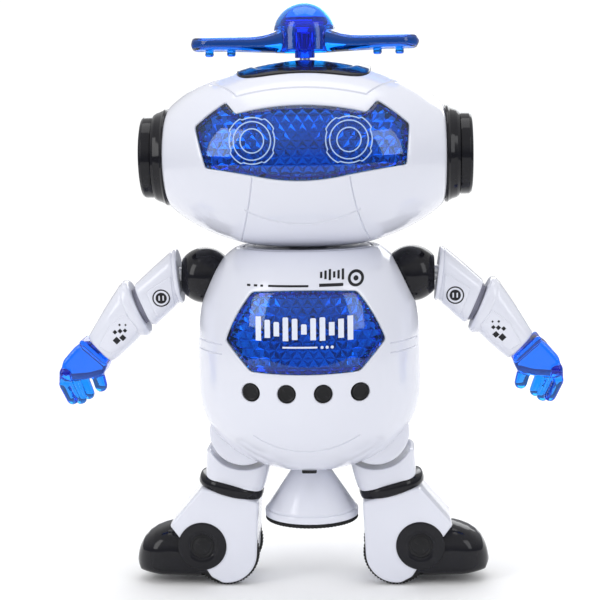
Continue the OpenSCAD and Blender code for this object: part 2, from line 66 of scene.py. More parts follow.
def makeCamera(setup):
    turn = math.radians(setup["turn"])
    across = Vector((math.cos(turn), math.sin(turn), 0)) * setup["sideStep"]
    spot = Vector((setup["distance"] * math.sin(turn), -setup["distance"] * math.cos(turn), setup["height"])) + across
    aim = across + Vector((0, 0, setup["aimHeight"]))
    forward = (aim - spot).normalized()
    sideways = forward.cross(Vector((0, 0, 1))).normalized()
    up = sideways.cross(forward)
    roll = math.radians(setup["roll"])
    turned = sideways * math.cos(roll) + up * math.sin(roll)
    raised = up * math.cos(roll) - sideways * math.sin(roll)
    data = bpy.data.cameras.new("studioCamera")
    data.sensor_width = 36
    data.lens = setup["lens"]
    data.clip_start, data.clip_end = 0.02, 20
    camera = bpy.data.objects.new("studioCamera", data)
    scene.collection.objects.link(camera)
    camera.matrix_world = Matrix.Translation(spot * mm) @ Matrix((turned, raised, -forward)).transposed().to_4x4()
    scene.camera = camera


makeCamera(cameraSetup)

lightSetup = {
    "worldTop": (1.0, 1.0, 1.0),
    "worldLow": (0.30, 0.31, 0.345),
    "worldStrength": 0.85,
    "worldStops": (0.50, 0.72),
    "backdrop": 1.05,
    # name, place in metres, aim height, size across and up, watts, colour
    "boxes": [
        ("keyBox", (-0.98, -0.72, 0.66), 0.12, 0.42, 0.90, 4.2, (1.0, 1.0, 1.0)),
        ("fillBox", (1.02, -0.74, 0.62), 0.12, 0.38, 0.85, 2.8, (0.97, 0.98, 1.0)),
        ("topBox", (0.0, 0.10, 1.15), 0.10, 0.90, 0.70, 3.2, (1.0, 1.0, 1.0)),
        ("rimBox", (0.15, 1.05, 0.55), 0.12, 0.90, 0.50, 3.0, (0.96, 0.98, 1.0)),
    ],
}


def makeLights(setup):
    world = bpy.data.worlds.new("studioWorld")
    scene.world = world
    world.use_nodes = True
    nodes, links = world.node_tree.nodes, world.node_tree.links
    nodes.clear()
    out = nodes.new("ShaderNodeOutputWorld")
    back = nodes.new("ShaderNodeBackground")
    coord = nodes.new("ShaderNodeTexCoord")
    split = nodes.new("ShaderNodeSeparateXYZ")
    ramp = nodes.new("ShaderNodeValToRGB")
    for stop, place, colour in zip(ramp.color_ramp.elements, setup["worldStops"],
                                   (setup["worldLow"], setup["worldTop"])):
        stop.position = place
        stop.color = (*colour, 1)
    shift = nodes.new("ShaderNodeMath")
    shift.operation = "MULTIPLY_ADD"
    shift.inputs[1].default_value = 0.5
    shift.inputs[2].default_value = 0.5
    links.new(coord.outputs["Generated"], split.inputs[0])
    links.new(split.outputs["Z"], shift.inputs[0])
    links.new(shift.outputs[0], ramp.inputs[0])
    links.new(ramp.outputs[0], back.inputs["Color"])
    back.inputs["Strength"].default_value = setup["worldStrength"]
    # the camera sees plain white behind the robot
    plain = nodes.new("ShaderNodeBackground")
    plain.inputs["Color"].default_value = (1, 1, 1, 1)
    plain.inputs["Strength"].default_value = setup["backdrop"]
    path = nodes.new("ShaderNodeLightPath")
    mix = nodes.new("ShaderNodeMixShader")
    links.new(path.outputs["Is Camera Ray"], mix.inputs[0])
    links.new(back.outputs[0], mix.inputs[1])
    links.new(plain.outputs[0], mix.inputs[2])
    links.new(mix.outputs[0], out.inputs[0])
    for name, place, aimHeight, across, tall, watts, colour in setup["boxes"]:
        data = bpy.data.lights.new(name, "AREA")
        data.shape = "RECTANGLE"
        data.size, data.size_y = across, tall
        data.energy, data.color = watts, colour
        lamp = bpy.data.objects.new(name, data)
        scene.collection.objects.link(lamp)
        spot = Vector(place)
        aim = Vector((0, 0, aimHeight)) - spot
        lamp.matrix_world = Matrix.Translation(spot) @ aim.to_track_quat("-Z", "Y").to_matrix().to_4x4()


makeLights(lightSetup)
scene.view_settings.view_transform = "Standard"
print("camera and lights ready")

# materials


def groupSocket(group, name, kind, way, default=None):
    socket = group.interface.new_socket(name=name, in_out=way, socket_type=kind)
    if default is not None:
        socket.default_value = default
    return socket


def newGroup(name, ins, outs):
    group = bpy.data.node_groups.new(name, "ShaderNodeTree")
    for socketName, kind, default in ins:
        groupSocket(group, socketName, kind, "INPUT", default)
    for socketName, kind in outs:
        groupSocket(group, socketName, kind, "OUTPUT")
    start = group.nodes.new("NodeGroupInput")
    end = group.nodes.new("NodeGroupOutput")
    return group, start, end


def mathNode(tree, operation, a, b=None, clamp=False):
    node = tree.nodes.new("ShaderNodeMath")
    node.operation = operation
    node.use_clamp = clamp
    for socket, value in zip(node.inputs, (a, b)):
        if value is None:
            continue
        if isinstance(value, (int, float)):
            socket.default_value = value
        else:
            tree.links.new(value, socket)
    return node.outputs[0]


def mixNode(tree, factor, a, b):
    node = tree.nodes.new("ShaderNodeMix")
    node.data_type = "RGBA"
    for socket, value in ((node.inputs[0], factor), (node.inputs[6], a), (node.inputs[7], b)):
        if isinstance(value, (int, float)):
            socket.default_value = value
        elif isinstance(value, tuple):
            socket.default_value = value
        else:
            tree.links.new(value, socket)
    return node.outputs[2]


def noiseNode(tree, vector, scale, detail=3.0, rough=0.5):
    node = tree.nodes.new("ShaderNodeTexNoise")
    node.inputs["Detail"].default_value = detail
    node.inputs["Roughness"].default_value = rough
    tree.links.new(vector, node.inputs["Vector"])
    if isinstance(scale, (int, float)):
        node.inputs["Scale"].default_value = scale
    else:
        tree.links.new(scale, node.inputs["Scale"])
    return node.outputs["Fac"]


def makeMouldedSkin():
    # slow colour drift, polished and duller patches, and a fine orange peel
    group, start, end = newGroup(
        "mouldedSkin",
        [("Base Color", "NodeSocketColor", (0.8, 0.8, 0.8, 1)),
         ("Drift Color", "NodeSocketColor", (0.7, 0.7, 0.8, 1)),
         ("Drift Scale", "NodeSocketFloat", 40.0), ("Peel Scale", "NodeSocketFloat", 900.0),
         ("Gloss", "NodeSocketFloat", 0.2), ("Gloss Spread", "NodeSocketFloat", 0.1)],
        [("Color", "NodeSocketColor"), ("Roughness", "NodeSocketFloat"), ("Height", "NodeSocketFloat")],
    )
    coord = group.nodes.new("ShaderNodeTexCoord")
    here = coord.outputs["Object"]
    drift = noiseNode(group, here, start.outputs["Drift Scale"], 4.0)
    group.links.new(mixNode(group, drift, start.outputs["Base Color"], start.outputs["Drift Color"]),
                    end.inputs["Color"])
    patches = noiseNode(group, here, 160.0, 6.0, 0.65)
    spread = mathNode(group, "MULTIPLY", mathNode(group, "SUBTRACT", patches, 0.5), start.outputs["Gloss Spread"])
    group.links.new(mathNode(group, "ADD", start.outputs["Gloss"], spread, True), end.inputs["Roughness"])
    peel = noiseNode(group, here, start.outputs["Peel Scale"], 2.0)
    group.links.new(peel, end.inputs["Height"])
    return group


def makeEdgeSheenAndCreaseShade():
    # convex edges lightened, partly rubbed wear and partly a painted highlight; creases darkened with painted shade
    group, start, end = newGroup(
        "edgeSheenAndCreaseShade",
        [("Color", "NodeSocketColor", (0.8, 0.8, 0.8, 1)), ("WearAndSheen Color", "NodeSocketColor", (1, 1, 1, 1)),
         ("CreaseShade Color", "NodeSocketColor", (0.2, 0.2, 0.3, 1)), ("WearAndSheen", "NodeSocketFloat", 0.3),
         ("CreaseShade", "NodeSocketFloat", 0.3)],
        [("Color", "NodeSocketColor"), ("Mask", "NodeSocketFloat")],
    )
    geo = group.nodes.new("ShaderNodeNewGeometry")
    coord = group.nodes.new("ShaderNodeTexCoord")
    point = geo.outputs["Pointiness"]
    broken = noiseNode(group, coord.outputs["Object"], 700.0, 5.0, 0.6)
    # wear plus painted highlight: convex edges lightened towards the wear-and-sheen colour
    rise = group.nodes.new("ShaderNodeMapRange")
    rise.inputs["From Min"].default_value, rise.inputs["From Max"].default_value = 0.53, 0.62
    group.links.new(point, rise.inputs["Value"])
    wearAndSheenMask = mathNode(group, "MULTIPLY", mathNode(group, "MULTIPLY", rise.outputs[0], broken), start.outputs["WearAndSheen"],
                    True)
    # painted shade: creases darkened towards the crease shade colour
    fall = group.nodes.new("ShaderNodeMapRange")
    fall.inputs["From Min"].default_value, fall.inputs["From Max"].default_value = 0.48, 0.38
    group.links.new(point, fall.inputs["Value"])
    dip = mathNode(group, "MULTIPLY", fall.outputs[0], start.outputs["CreaseShade"], True)
    creaseShaded = mixNode(group, dip, start.outputs["Color"], start.outputs["CreaseShade Color"])
    group.links.new(mixNode(group, wearAndSheenMask, creaseShaded, start.outputs["WearAndSheen Color"]), end.inputs["Color"])
    group.links.new(wearAndSheenMask, end.inputs["Mask"])
    return group


def makeDustVeil():
    # faint dust that settles on upward faces
    group, start, end = newGroup(
        "dustVeil",
        [("Color", "NodeSocketColor", (0.8, 0.8, 0.8, 1)), ("Dust Color", "NodeSocketColor", (0.7, 0.68, 0.65, 1)),
         ("Roughness", "NodeSocketFloat", 0.2), ("Amount", "NodeSocketFloat", 0.1)],
        [("Color", "NodeSocketColor"), ("Roughness", "NodeSocketFloat")],
    )
    geo = group.nodes.new("ShaderNodeNewGeometry")
    coord = group.nodes.new("ShaderNodeTexCoord")
    split = group.nodes.new("ShaderNodeSeparateXYZ")
    group.links.new(geo.outputs["Normal"], split.inputs[0])
    upward = mathNode(group, "POWER", mathNode(group, "MAXIMUM", split.outputs["Z"], 0.0), 2.0)
    specks = noiseNode(group, coord.outputs["Object"], 420.0, 8.0, 0.75)
    gate = group.nodes.new("ShaderNodeMapRange")
    gate.inputs["From Min"].default_value, gate.inputs["From Max"].default_value = 0.48, 0.72
    group.links.new(specks, gate.inputs["Value"])
    amount = mathNode(group, "MULTIPLY", mathNode(group, "MULTIPLY", upward, gate.outputs[0]),
                      start.outputs["Amount"], True)
    group.links.new(mixNode(group, amount, start.outputs["Color"], start.outputs["Dust Color"]), end.inputs["Color"])
    group.links.new(mathNode(group, "ADD", start.outputs["Roughness"], amount, True), end.inputs["Roughness"])
    return group


effects = {"skin": makeMouldedSkin(), "wearAndSheen": makeEdgeSheenAndCreaseShade(), "dust": makeDustVeil()}

# wearAndSheen and its colour lighten convex edges, partly rubbed wear and partly a painted highlight; creaseShade and
# its colour darken creases with painted shade
finishes = {
    "whiteShell": {"base": (0.75, 0.765, 0.845), "drift": (0.73, 0.745, 0.83), "driftScale": 18, "peel": 500,
                   "peelHeight": 0.006,
                   "gloss": 0.17, "spread": 0.08, "wearAndSheen": 0.25, "wearAndSheenColour": (0.9, 0.9, 0.93), "creaseShade": 0.35,
                   "creaseShadeColour": (0.45, 0.46, 0.56), "dust": 0.05, "coat": 0.3, "slot": "white_shell"},
    "glossBlack": {"base": (0.006, 0.006, 0.008), "drift": (0.010, 0.010, 0.014), "driftScale": 30, "peel": 420,
                   "peelHeight": 0.004,
                   "gloss": 0.10, "spread": 0.06, "wearAndSheen": 0.15, "wearAndSheenColour": (0.04, 0.04, 0.05), "creaseShade": 0.2,
                   "creaseShadeColour": (0.002, 0.002, 0.003), "dust": 0.01, "coat": 0.0, "shine": 0.26,
                   "slot": "black_gloss"},
    "satinBlack": {"base": (0.010, 0.010, 0.011), "drift": (0.016, 0.016, 0.018), "driftScale": 40, "peel": 1400,
                   "peelHeight": 0.02,
                   "gloss": 0.38, "spread": 0.14, "wearAndSheen": 0.3, "wearAndSheenColour": (0.09, 0.09, 0.10), "creaseShade": 0.2,
                   "creaseShadeColour": (0.006, 0.006, 0.007), "dust": 0.01, "coat": 0.0, "shine": 0.2,
                   "slot": "black_matte"},
    "tyreRubber": {"base": (0.010, 0.010, 0.011), "drift": (0.018, 0.018, 0.018), "driftScale": 60, "peel": 2200,
                   "peelHeight": 0.05,
                   "gloss": 0.62, "spread": 0.2, "wearAndSheen": 0.4, "wearAndSheenColour": (0.08, 0.08, 0.08), "creaseShade": 0.3,
                   "creaseShadeColour": (0.004, 0.004, 0.004), "dust": 0.06, "coat": 0.0, "shine": 0.2, "slot": "rubber"},
    # painted shade: the grey-lavender of white plastic in shadow, used for the elbow neck
    "shadowGreyInsert": {"base": (0.23, 0.23, 0.29), "drift": (0.19, 0.19, 0.25), "driftScale": 40, "peel": 1200,
                   "peelHeight": 0.02,
                   "gloss": 0.4, "spread": 0.12, "wearAndSheen": 0.3, "wearAndSheenColour": (0.4, 0.4, 0.45), "creaseShade": 0.3,
                   "creaseShadeColour": (0.08, 0.08, 0.1), "dust": 0.05, "coat": 0.0, "slot": "grey_plastic"},
    "paleInk": {"base": (0.42, 0.58, 0.86), "drift": (0.36, 0.52, 0.82), "driftScale": 200, "peel": 1500,
                "peelHeight": 0.01,
                "gloss": 0.35, "spread": 0.1, "wearAndSheen": 0.0, "wearAndSheenColour": (1, 1, 1), "creaseShade": 0.0,
                "creaseShadeColour": (0.3, 0.4, 0.6), "dust": 0.0, "coat": 0.0, "slot": "blue_clear"},
    "whiteInk": {"base": (0.78, 0.82, 0.92), "drift": (0.70, 0.76, 0.90), "driftScale": 200, "peel": 1500,
                 "peelHeight": 0.01,
                 "gloss": 0.35, "spread": 0.1, "wearAndSheen": 0.0, "wearAndSheenColour": (1, 1, 1), "creaseShade": 0.0,
                 "creaseShadeColour": (0.3, 0.4, 0.6), "dust": 0.0, "coat": 0.0, "slot": "blue_clear"},
    "blackInk": {"base": (0.012, 0.012, 0.014), "drift": (0.022, 0.022, 0.026), "driftScale": 220, "peel": 1600,
                 "peelHeight": 0.01,
                 "gloss": 0.42, "spread": 0.1, "wearAndSheen": 0.0, "wearAndSheenColour": (1, 1, 1), "creaseShade": 0.0,
                 "creaseShadeColour": (0.01, 0.01, 0.01), "dust": 0.0, "coat": 0.0, "shine": 0.2, "slot": "black_matte"},
    "creamGear": {"base": (0.78, 0.72, 0.52), "drift": (0.72, 0.65, 0.46), "driftScale": 60, "peel": 900,
                  "peelHeight": 0.02,
                  "gloss": 0.4, "spread": 0.15, "wearAndSheen": 0.4, "wearAndSheenColour": (0.9, 0.86, 0.7), "creaseShade": 0.5,
                  "creaseShadeColour": (0.25, 0.2, 0.12), "dust": 0.1, "coat": 0.0, "slot": "gear_plastic"},
    "greenBoard": {"base": (0.02, 0.16, 0.06), "drift": (0.03, 0.22, 0.09), "driftScale": 220, "peel": 600,
                   "peelHeight": 0.05,
                   "gloss": 0.35, "spread": 0.15, "wearAndSheen": 0.3, "wearAndSheenColour": (0.4, 0.4, 0.2), "creaseShade": 0.3,
                   "creaseShadeColour": (0.01, 0.05, 0.02), "dust": 0.1, "coat": 0.2, "slot": "board"},
    "cellWrap": {"base": (0.02, 0.05, 0.16), "drift": (0.30, 0.22, 0.06), "driftScale": 25, "peel": 900,
                 "peelHeight": 0.01,
                 "gloss": 0.3, "spread": 0.1, "wearAndSheen": 0.4, "wearAndSheenColour": (0.7, 0.7, 0.72), "creaseShade": 0.2,
                 "creaseShadeColour": (0.01, 0.01, 0.02), "dust": 0.05, "coat": 0.3, "slot": "cell_wrap"},
    "brushedSteel": {"base": (0.58, 0.59, 0.62), "drift": (0.46, 0.47, 0.50), "driftScale": 120, "peel": 1800,
                     "peelHeight": 0.03,
                     "gloss": 0.3, "spread": 0.2, "wearAndSheen": 0.4, "wearAndSheenColour": (0.8, 0.8, 0.82), "creaseShade": 0.5,
                     "creaseShadeColour": (0.12, 0.11, 0.10), "dust": 0.05, "coat": 0.0, "metal": 1.0, "slot": "steel"},
    "mirrorFilm": {"base": (0.62, 0.70, 0.86), "drift": (0.42, 0.52, 0.78), "driftScale": 60, "peel": 700,
                   "peelHeight": 0.01,
                   "gloss": 0.08, "spread": 0.08, "wearAndSheen": 0.3, "wearAndSheenColour": (0.9, 0.95, 1.0), "creaseShade": 0.5,
                   "creaseShadeColour": (0.05, 0.08, 0.2), "dust": 0.0, "coat": 0.0, "metal": 1.0, "slot": "reflector"},
}


def placeGroup(tree, group, values):
    node = tree.nodes.new("ShaderNodeGroup")
    node.node_tree = group
    for name, value in values.items():
        socket = node.inputs[name]
        if isinstance(value, bpy.types.NodeSocket):
            tree.links.new(value, socket)
        elif isinstance(value, tuple):
            socket.default_value = (*value, 1)
        else:
            socket.default_value = value
    return node


def makePlastic(name, look):
    material = bpy.data.materials.new(name)
    material.use_nodes = True
    tree = material.node_tree
    tree.nodes.clear()
    out = tree.nodes.new("ShaderNodeOutputMaterial")
    shader = tree.nodes.new("ShaderNodeBsdfPrincipled")
    tree.links.new(shader.outputs[0], out.inputs[0])
    skin = placeGroup(tree, effects["skin"], {
        "Base Color": look["base"], "Drift Color": look["drift"], "Drift Scale": look["driftScale"],
        "Peel Scale": look["peel"], "Gloss": look["gloss"], "Gloss Spread": look["spread"]})
    # edge pass: painted highlight mixed with wear on convex edges, painted shade in creases
    wearAndSheen = placeGroup(tree, effects["wearAndSheen"], {
        "Color": skin.outputs["Color"], "WearAndSheen Color": look["wearAndSheenColour"], "CreaseShade Color": look["creaseShadeColour"],
        "WearAndSheen": look["wearAndSheen"], "CreaseShade": look["creaseShade"]})
    dust = placeGroup(tree, effects["dust"], {
        "Color": wearAndSheen.outputs["Color"], "Roughness": skin.outputs["Roughness"], "Amount": look["dust"]})
    bump = tree.nodes.new("ShaderNodeBump")
    bump.inputs["Strength"].default_value = 0.5
    bump.inputs["Distance"].default_value = look["peelHeight"] * mm
    tree.links.new(skin.outputs["Height"], bump.inputs["Height"])
    tree.links.new(dust.outputs["Color"], shader.inputs["Base Color"])
    tree.links.new(dust.outputs["Roughness"], shader.inputs["Roughness"])
    tree.links.new(bump.outputs[0], shader.inputs["Normal"])
    shader.inputs["Metallic"].default_value = look.get("metal", 0.0)
    shader.inputs["Coat Weight"].default_value = look["coat"]
    shader.inputs["Coat Roughness"].default_value = 0.05
    shader.inputs["IOR"].default_value = 1.5
    shader.inputs["Specular IOR Level"].default_value = look.get("shine", 0.5)
    material.diffuse_color = (*look["base"], 1)
    return material


clearLooks = {
    "blueVisor": {"base": (0.015, 0.44, 0.90), "drift": (0.008, 0.36, 0.84), "rough": 0.03, "shine": 0.3,
                  "density": 20.0, "absorb": (0.05, 0.5, 0.95)},
    "blueLimb": {"base": (0.015, 0.38, 0.96), "drift": (0.010, 0.31, 0.92), "rough": 0.04, "shine": 0.4,
                 "density": 130.0, "absorb": (0.02, 0.50, 0.97)},
    "blueRotor": {"base": (0.012, 0.33, 0.92), "drift": (0.008, 0.27, 0.86), "rough": 0.04, "shine": 0.4,
                  "density": 60.0, "absorb": (0.02, 0.45, 0.95)},
}


def makeClear(name, look):
    material = bpy.data.materials.new(name)
    material.use_nodes = True
    tree = material.node_tree
    tree.nodes.clear()
    out = tree.nodes.new("ShaderNodeOutputMaterial")
    shader = tree.nodes.new("ShaderNodeBsdfPrincipled")
    tree.links.new(shader.outputs[0], out.inputs[0])
    skin = placeGroup(tree, effects["skin"], {
        "Base Color": look["base"], "Drift Color": look["drift"], "Drift Scale": 50.0,
        "Peel Scale": 350.0, "Gloss": look["rough"], "Gloss Spread": 0.04})
    bump = tree.nodes.new("ShaderNodeBump")
    bump.inputs["Strength"].default_value = 0.4
    bump.inputs["Distance"].default_value = 0.01 * mm
    tree.links.new(skin.outputs["Height"], bump.inputs["Height"])
    tree.links.new(skin.outputs["Color"], shader.inputs["Base Color"])
    tree.links.new(skin.outputs["Roughness"], shader.inputs["Roughness"])
    tree.links.new(bump.outputs[0], shader.inputs["Normal"])
    shader.inputs["Transmission Weight"].default_value = 1.0
    shader.inputs["Specular IOR Level"].default_value = look["shine"]
    shader.inputs["IOR"].default_value = 1.49
    volume = tree.nodes.new("ShaderNodeVolumeAbsorption")
    volume.inputs["Color"].default_value = (*look["absorb"], 1)
    volume.inputs["Density"].default_value = look["density"]
    tree.links.new(volume.outputs[0], out.inputs["Volume"])
    material.diffuse_color = (*look["base"], 1)
    return material


paints = {name: makePlastic(name, look) for name, look in finishes.items()}
paints.update({name: makeClear(name, look) for name, look in clearLooks.items()})
slotOf = {name: look["slot"] for name, look in finishes.items()}
slotOf.update({name: "blue_clear" for name in clearLooks})

# plain finishes of the CAD pieces that stay as they are
keptPaint = {
    "white_shell": "whiteShell", "black_gloss": "glossBlack", "black_matte": "satinBlack", "rubber": "tyreRubber",
    "reflector": "mirrorFilm", "board": "greenBoard", "cell_wrap": "cellWrap", "steel": "brushedSteel",
    "grey_plastic": "shadowGreyInsert", "gear_plastic": "creamGear", "blue_clear": "blueLimb",
}
for entry in frame["record"]["subparts"]:
    obj = frame["nodes"][entry["node"]]
    if not obj.material_slots:
        obj.data.materials.append(None)
    for holder in obj.material_slots:
        holder.material = paints[keptPaint[entry["material_slot"]]]


floorSetup = {
    "half": 0.8,        # metres
    "base": (0.97, 0.97, 0.97), "drift": (0.955, 0.955, 0.96), "driftScale": 3.0, "peel": 300.0, "gloss": 0.75,
    "spread": 0.1,
}


def makeFloor(setup):
    half = setup["half"]
    mesh = bpy.data.meshes.new("studioFloor")
    mesh.from_pydata([(-half, -half, 0), (half, -half, 0), (half, half, 0), (-half, half, 0)], [], [(0, 1, 2, 3)])
    floor = bpy.data.objects.new("studioFloor", mesh)
    scene.collection.objects.link(floor)
    material = bpy.data.materials.new("paleFloor")
    material.use_nodes = True
    tree = material.node_tree
    shader = tree.nodes["Principled BSDF"]
    skin = placeGroup(tree, effects["skin"], {
        "Base Color": setup["base"], "Drift Color": setup["drift"], "Drift Scale": setup["driftScale"],
        "Peel Scale": setup["peel"], "Gloss": setup["gloss"], "Gloss Spread": setup["spread"]})
    tree.links.new(skin.outputs["Color"], shader.inputs["Base Color"])
    tree.links.new(skin.outputs["Roughness"], shader.inputs["Roughness"])
    mesh.materials.append(material)


makeFloor(floorSetup)
print("materials and floor ready")

# shared mesh tools, all in millimetres


def addPiece(name, verts, faces, paint, body, replaced=(), sharp=38):
    mesh = bpy.data.meshes.new(name)
    mesh.from_pydata([tuple(v) for v in np.asarray(verts) * mm], [], [tuple(int(i) for i in f) for f in faces])
    mesh.validate()
    mesh.update()
    obj = bpy.data.objects.new(name, mesh)
    scene.collection.objects.link(obj)
    mesh.materials.append(paints[paint])
    smoothAll(mesh, sharp)
    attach(obj, body)
    if replaced:
        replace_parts(obj, *replaced)
    return obj


def smoothAll(mesh, sharp):
    mesh.polygons.foreach_set("use_smooth", [True] * len(mesh.polygons))
    mesh.set_sharp_from_angle(angle=math.radians(sharp))


def applyAll(obj, sharp=38):
    # turns the modifiers into plain mesh
    graph = bpy.context.evaluated_depsgraph_get()
    graph.update()
    done = bpy.data.meshes.new_from_object(obj.evaluated_get(graph))
    old = obj.data
    obj.modifiers.clear()
    obj.data = done
    bpy.data.meshes.remove(old)
    smoothAll(done, sharp)
    return obj


def addSolidify(obj, thick, sharp=38):
    solid = obj.modifiers.new("thickness", "SOLIDIFY")
    solid.thickness = thick * mm
    solid.offset = -1
    solid.use_rim = True
    return applyAll(obj, sharp)


def addBevel(obj, width, segments=3, angle=40, sharp=30):
    bevel = obj.modifiers.new("rounding", "BEVEL")
    bevel.width = width * mm
    bevel.segments = segments
    bevel.limit_method = "ANGLE"
    bevel.angle_limit = math.radians(angle)
    bevel.harden_normals = False
    bevel.use_clamp_overlap = True
    return applyAll(obj, sharp)


def mixed(a, b, t):
    return a + (b - a) * t


def resample(points, step, closed):
    pts = np.asarray(points, float)
    if closed:
        pts = np.vstack([pts, pts[:1]])
    lengths = np.r_[0, np.cumsum(np.linalg.norm(np.diff(pts, axis=0), axis=1))]
    count = max(3 if closed else 2, int(round(lengths[-1] / step)) + (0 if closed else 1))
    at = np.linspace(0, lengths[-1], count, endpoint=not closed)
    return np.column_stack([np.interp(at, lengths, pts[:, k]) for k in range(pts.shape[1])])


def softLoop(points, step=0.3, rounds=6):
    # closed outline with its corners eased
    pts = resample(points, step, True)
    for _ in range(rounds):
        pts = pts * 0.5 + (np.roll(pts, 1, axis=0) + np.roll(pts, -1, axis=0)) * 0.25
    return pts


def bowed(a, b, sag, count=10):
    # points from a to b on a shallow arc
    a, b = np.array(a, float), np.array(b, float)
    along = b - a
    across = np.array([-along[1], along[0]]) / np.linalg.norm(along)
    t = np.linspace(0, 1, count)[:, None]
    return a + along * t + across * (sag * 4 * t * (1 - t))


def loopArea(loop):
    x, y = loop[:, 0], loop[:, 1]
    return 0.5 * np.sum(x * np.roll(y, -1) - np.roll(x, -1) * y)


def offsetLoop(loop, distance):
    # positive distance grows a closed loop
    ahead, behind = np.roll(loop, -1, axis=0), np.roll(loop, 1, axis=0)
    tangent = ahead - behind
    tangent /= np.maximum(np.linalg.norm(tangent, axis=1, keepdims=True), 1e-9)
    normal = np.column_stack([tangent[:, 1], -tangent[:, 0]]) * np.sign(loopArea(loop))
    return loop + normal * distance


def lineDistance(points, line, closed=False):
    # distance of each point to a polyline
    pts = np.asarray(points, float)
    a = np.asarray(line, float)
    b = np.roll(a, -1, axis=0) if closed else a[1:]
    if not closed:
        a = a[:-1]
    best = np.full(len(pts), 1e9)
    for k in range(len(a)):
        seg = b[k] - a[k]
        t = np.clip(((pts - a[k]) @ seg) / max(seg @ seg, 1e-12), 0, 1)
        gap = pts - a[k] - t[:, None] * seg
        best = np.minimum(best, np.einsum("ij,ij->i", gap, gap))
    return np.sqrt(best)


def insideLoop(points, loop):
    x, y = points[:, 0], points[:, 1]
    inside = np.zeros(len(points), bool)
    for (x0, y0), (x1, y1) in zip(loop, np.roll(loop, -1, axis=0)):
        if y0 == y1:
            continue
        crosses = ((y0 > y) != (y1 > y)) & (x < (x1 - x0) * (y - y0) / (y1 - y0) + x0)
        inside ^= crosses
    return inside


def signedGap(points, loop, reach=3.0):
    # distance to a closed loop, negative inside; far points only get their sign
    gap = np.full(len(points), 1e3)
    low, high = loop.min(0) - reach, loop.max(0) + reach
    near = np.all((points > low) & (points < high), axis=1)
    if near.any():
        gap[near] = lineDistance(points[near], loop, True)
        gap[near] *= np.where(insideLoop(points[near], loop), -1, 1)
    return gap


def triangulate(points, edges):
    coords, _, faces, _, _, _ = delaunay_2d_cdt([Vector(p) for p in points], edges, [], 0, 1e-5, False)
    flat = np.array([tuple(c) for c in coords])
    tri = np.array([f for f in faces], int)
    return flat, tri


# star shells: head and torso covers with crisp grooves and openings


def smoothMin(a, b, k):
    h = np.clip(0.5 + 0.5 * (b - a) / k, 0, 1)
    return b * (1 - h) + a * h - k * h * (1 - h)


def starPoints(star, rays):
    reach = star["reach"](rays)
    return star["centre"] + star["scale"] * rays * reach[:, None]


def raysFromSheet(star, side, sheet):
    flat = sheet / np.array([star["scale"][0], star["scale"][2]])
    squared = np.minimum((flat ** 2).sum(1), 2.0)
    shrink = np.sqrt(1 - squared / 4)
    return np.column_stack([flat[:, 0] * shrink, side * (1 - squared / 2), flat[:, 1] * shrink])


def sheetFromPoints(star, side, points):
    rays = (points - star["centre"]) / star["scale"]
    rays /= np.linalg.norm(rays, axis=1, keepdims=True)
    grow = np.sqrt(2 / np.maximum(1 + side * rays[:, 1], 1e-6))
    return np.column_stack([rays[:, 0] * grow * star["scale"][0], rays[:, 2] * grow * star["scale"][2]])


def sheetNormals(star, side, sheet, points):
    step = 0.05
    du = starPoints(star, raysFromSheet(star, side, sheet + [step, 0])) - points
    dv = starPoints(star, raysFromSheet(star, side, sheet + [0, step])) - points
    rimU = starPoints(star, raysFromSheet(star, side, sheet - [step, 0]))
    rimV = starPoints(star, raysFromSheet(star, side, sheet - [0, step]))
    du = du + points - rimU
    dv = dv + points - rimV
    normal = np.cross(du, dv) * -side
    normal /= np.maximum(np.linalg.norm(normal, axis=1, keepdims=True), 1e-9)
    outward = points - star["centre"]
    flip = np.einsum("ij,ij->i", normal, outward) < 0
    normal[flip] *= -1
    return normal


def starSheet(star, side, curves, keep, sink, spacing):
    scaleX, scaleZ = star["scale"][0], star["scale"][2]
    rim = math.sqrt(2)
    turns = np.linspace(0, 2 * math.pi, int(2 * math.pi * rim * (scaleX + scaleZ) / 2 / (spacing * 0.8)),
                        endpoint=False)
    border = np.column_stack([np.cos(turns) * scaleX * rim, np.sin(turns) * scaleZ * rim])
    loops = [(border, True)]
    for line, closed in curves:
        loops.append((sheetFromPoints(star, side, line), closed))
    points, edges = [], []
    for line, closed in loops:
        start = len(points)
        points.extend(line.tolist())
        count = len(line)
        edges.extend((start + k, start + k + 1) for k in range(count - 1))
        if closed:
            edges.append((start + count - 1, start))
    tree = KDTree(len(points))
    for k, p in enumerate(points):
        tree.insert((p[0], p[1], 0), k)
    tree.balance()
    rows = int(scaleZ * rim / (spacing * 0.866)) + 1
    cols = int(scaleX * rim / spacing) + 1
    for row in range(-rows, rows + 1):
        z = row * spacing * 0.866
        for col in range(-cols, cols + 1):
            x = (col + (0.5 if row % 2 else 0)) * spacing
            if (x / scaleX) ** 2 + (z / scaleZ) ** 2 > 1.985:
                continue
            if tree.find((x, z, 0))[2] > spacing * 0.55:
                points.append([x, z])
    flat, tri = triangulate(points, edges)
    rays = raysFromSheet(star, side, flat)
    place = starPoints(star, rays)
    normal = sheetNormals(star, side, flat, place)
    middle = starPoints(star, raysFromSheet(star, side, flat[tri].mean(axis=1)))
    tri = tri[keep(middle)]
    if side > 0:
        tri = tri[:, ::-1]
    used = np.unique(tri)
    renumber = np.zeros(len(flat), int)
    renumber[used] = np.arange(len(used))
    place, normal = place[used], normal[used]
    place = place - normal * sink(place)[:, None]
    return place, renumber[tri]


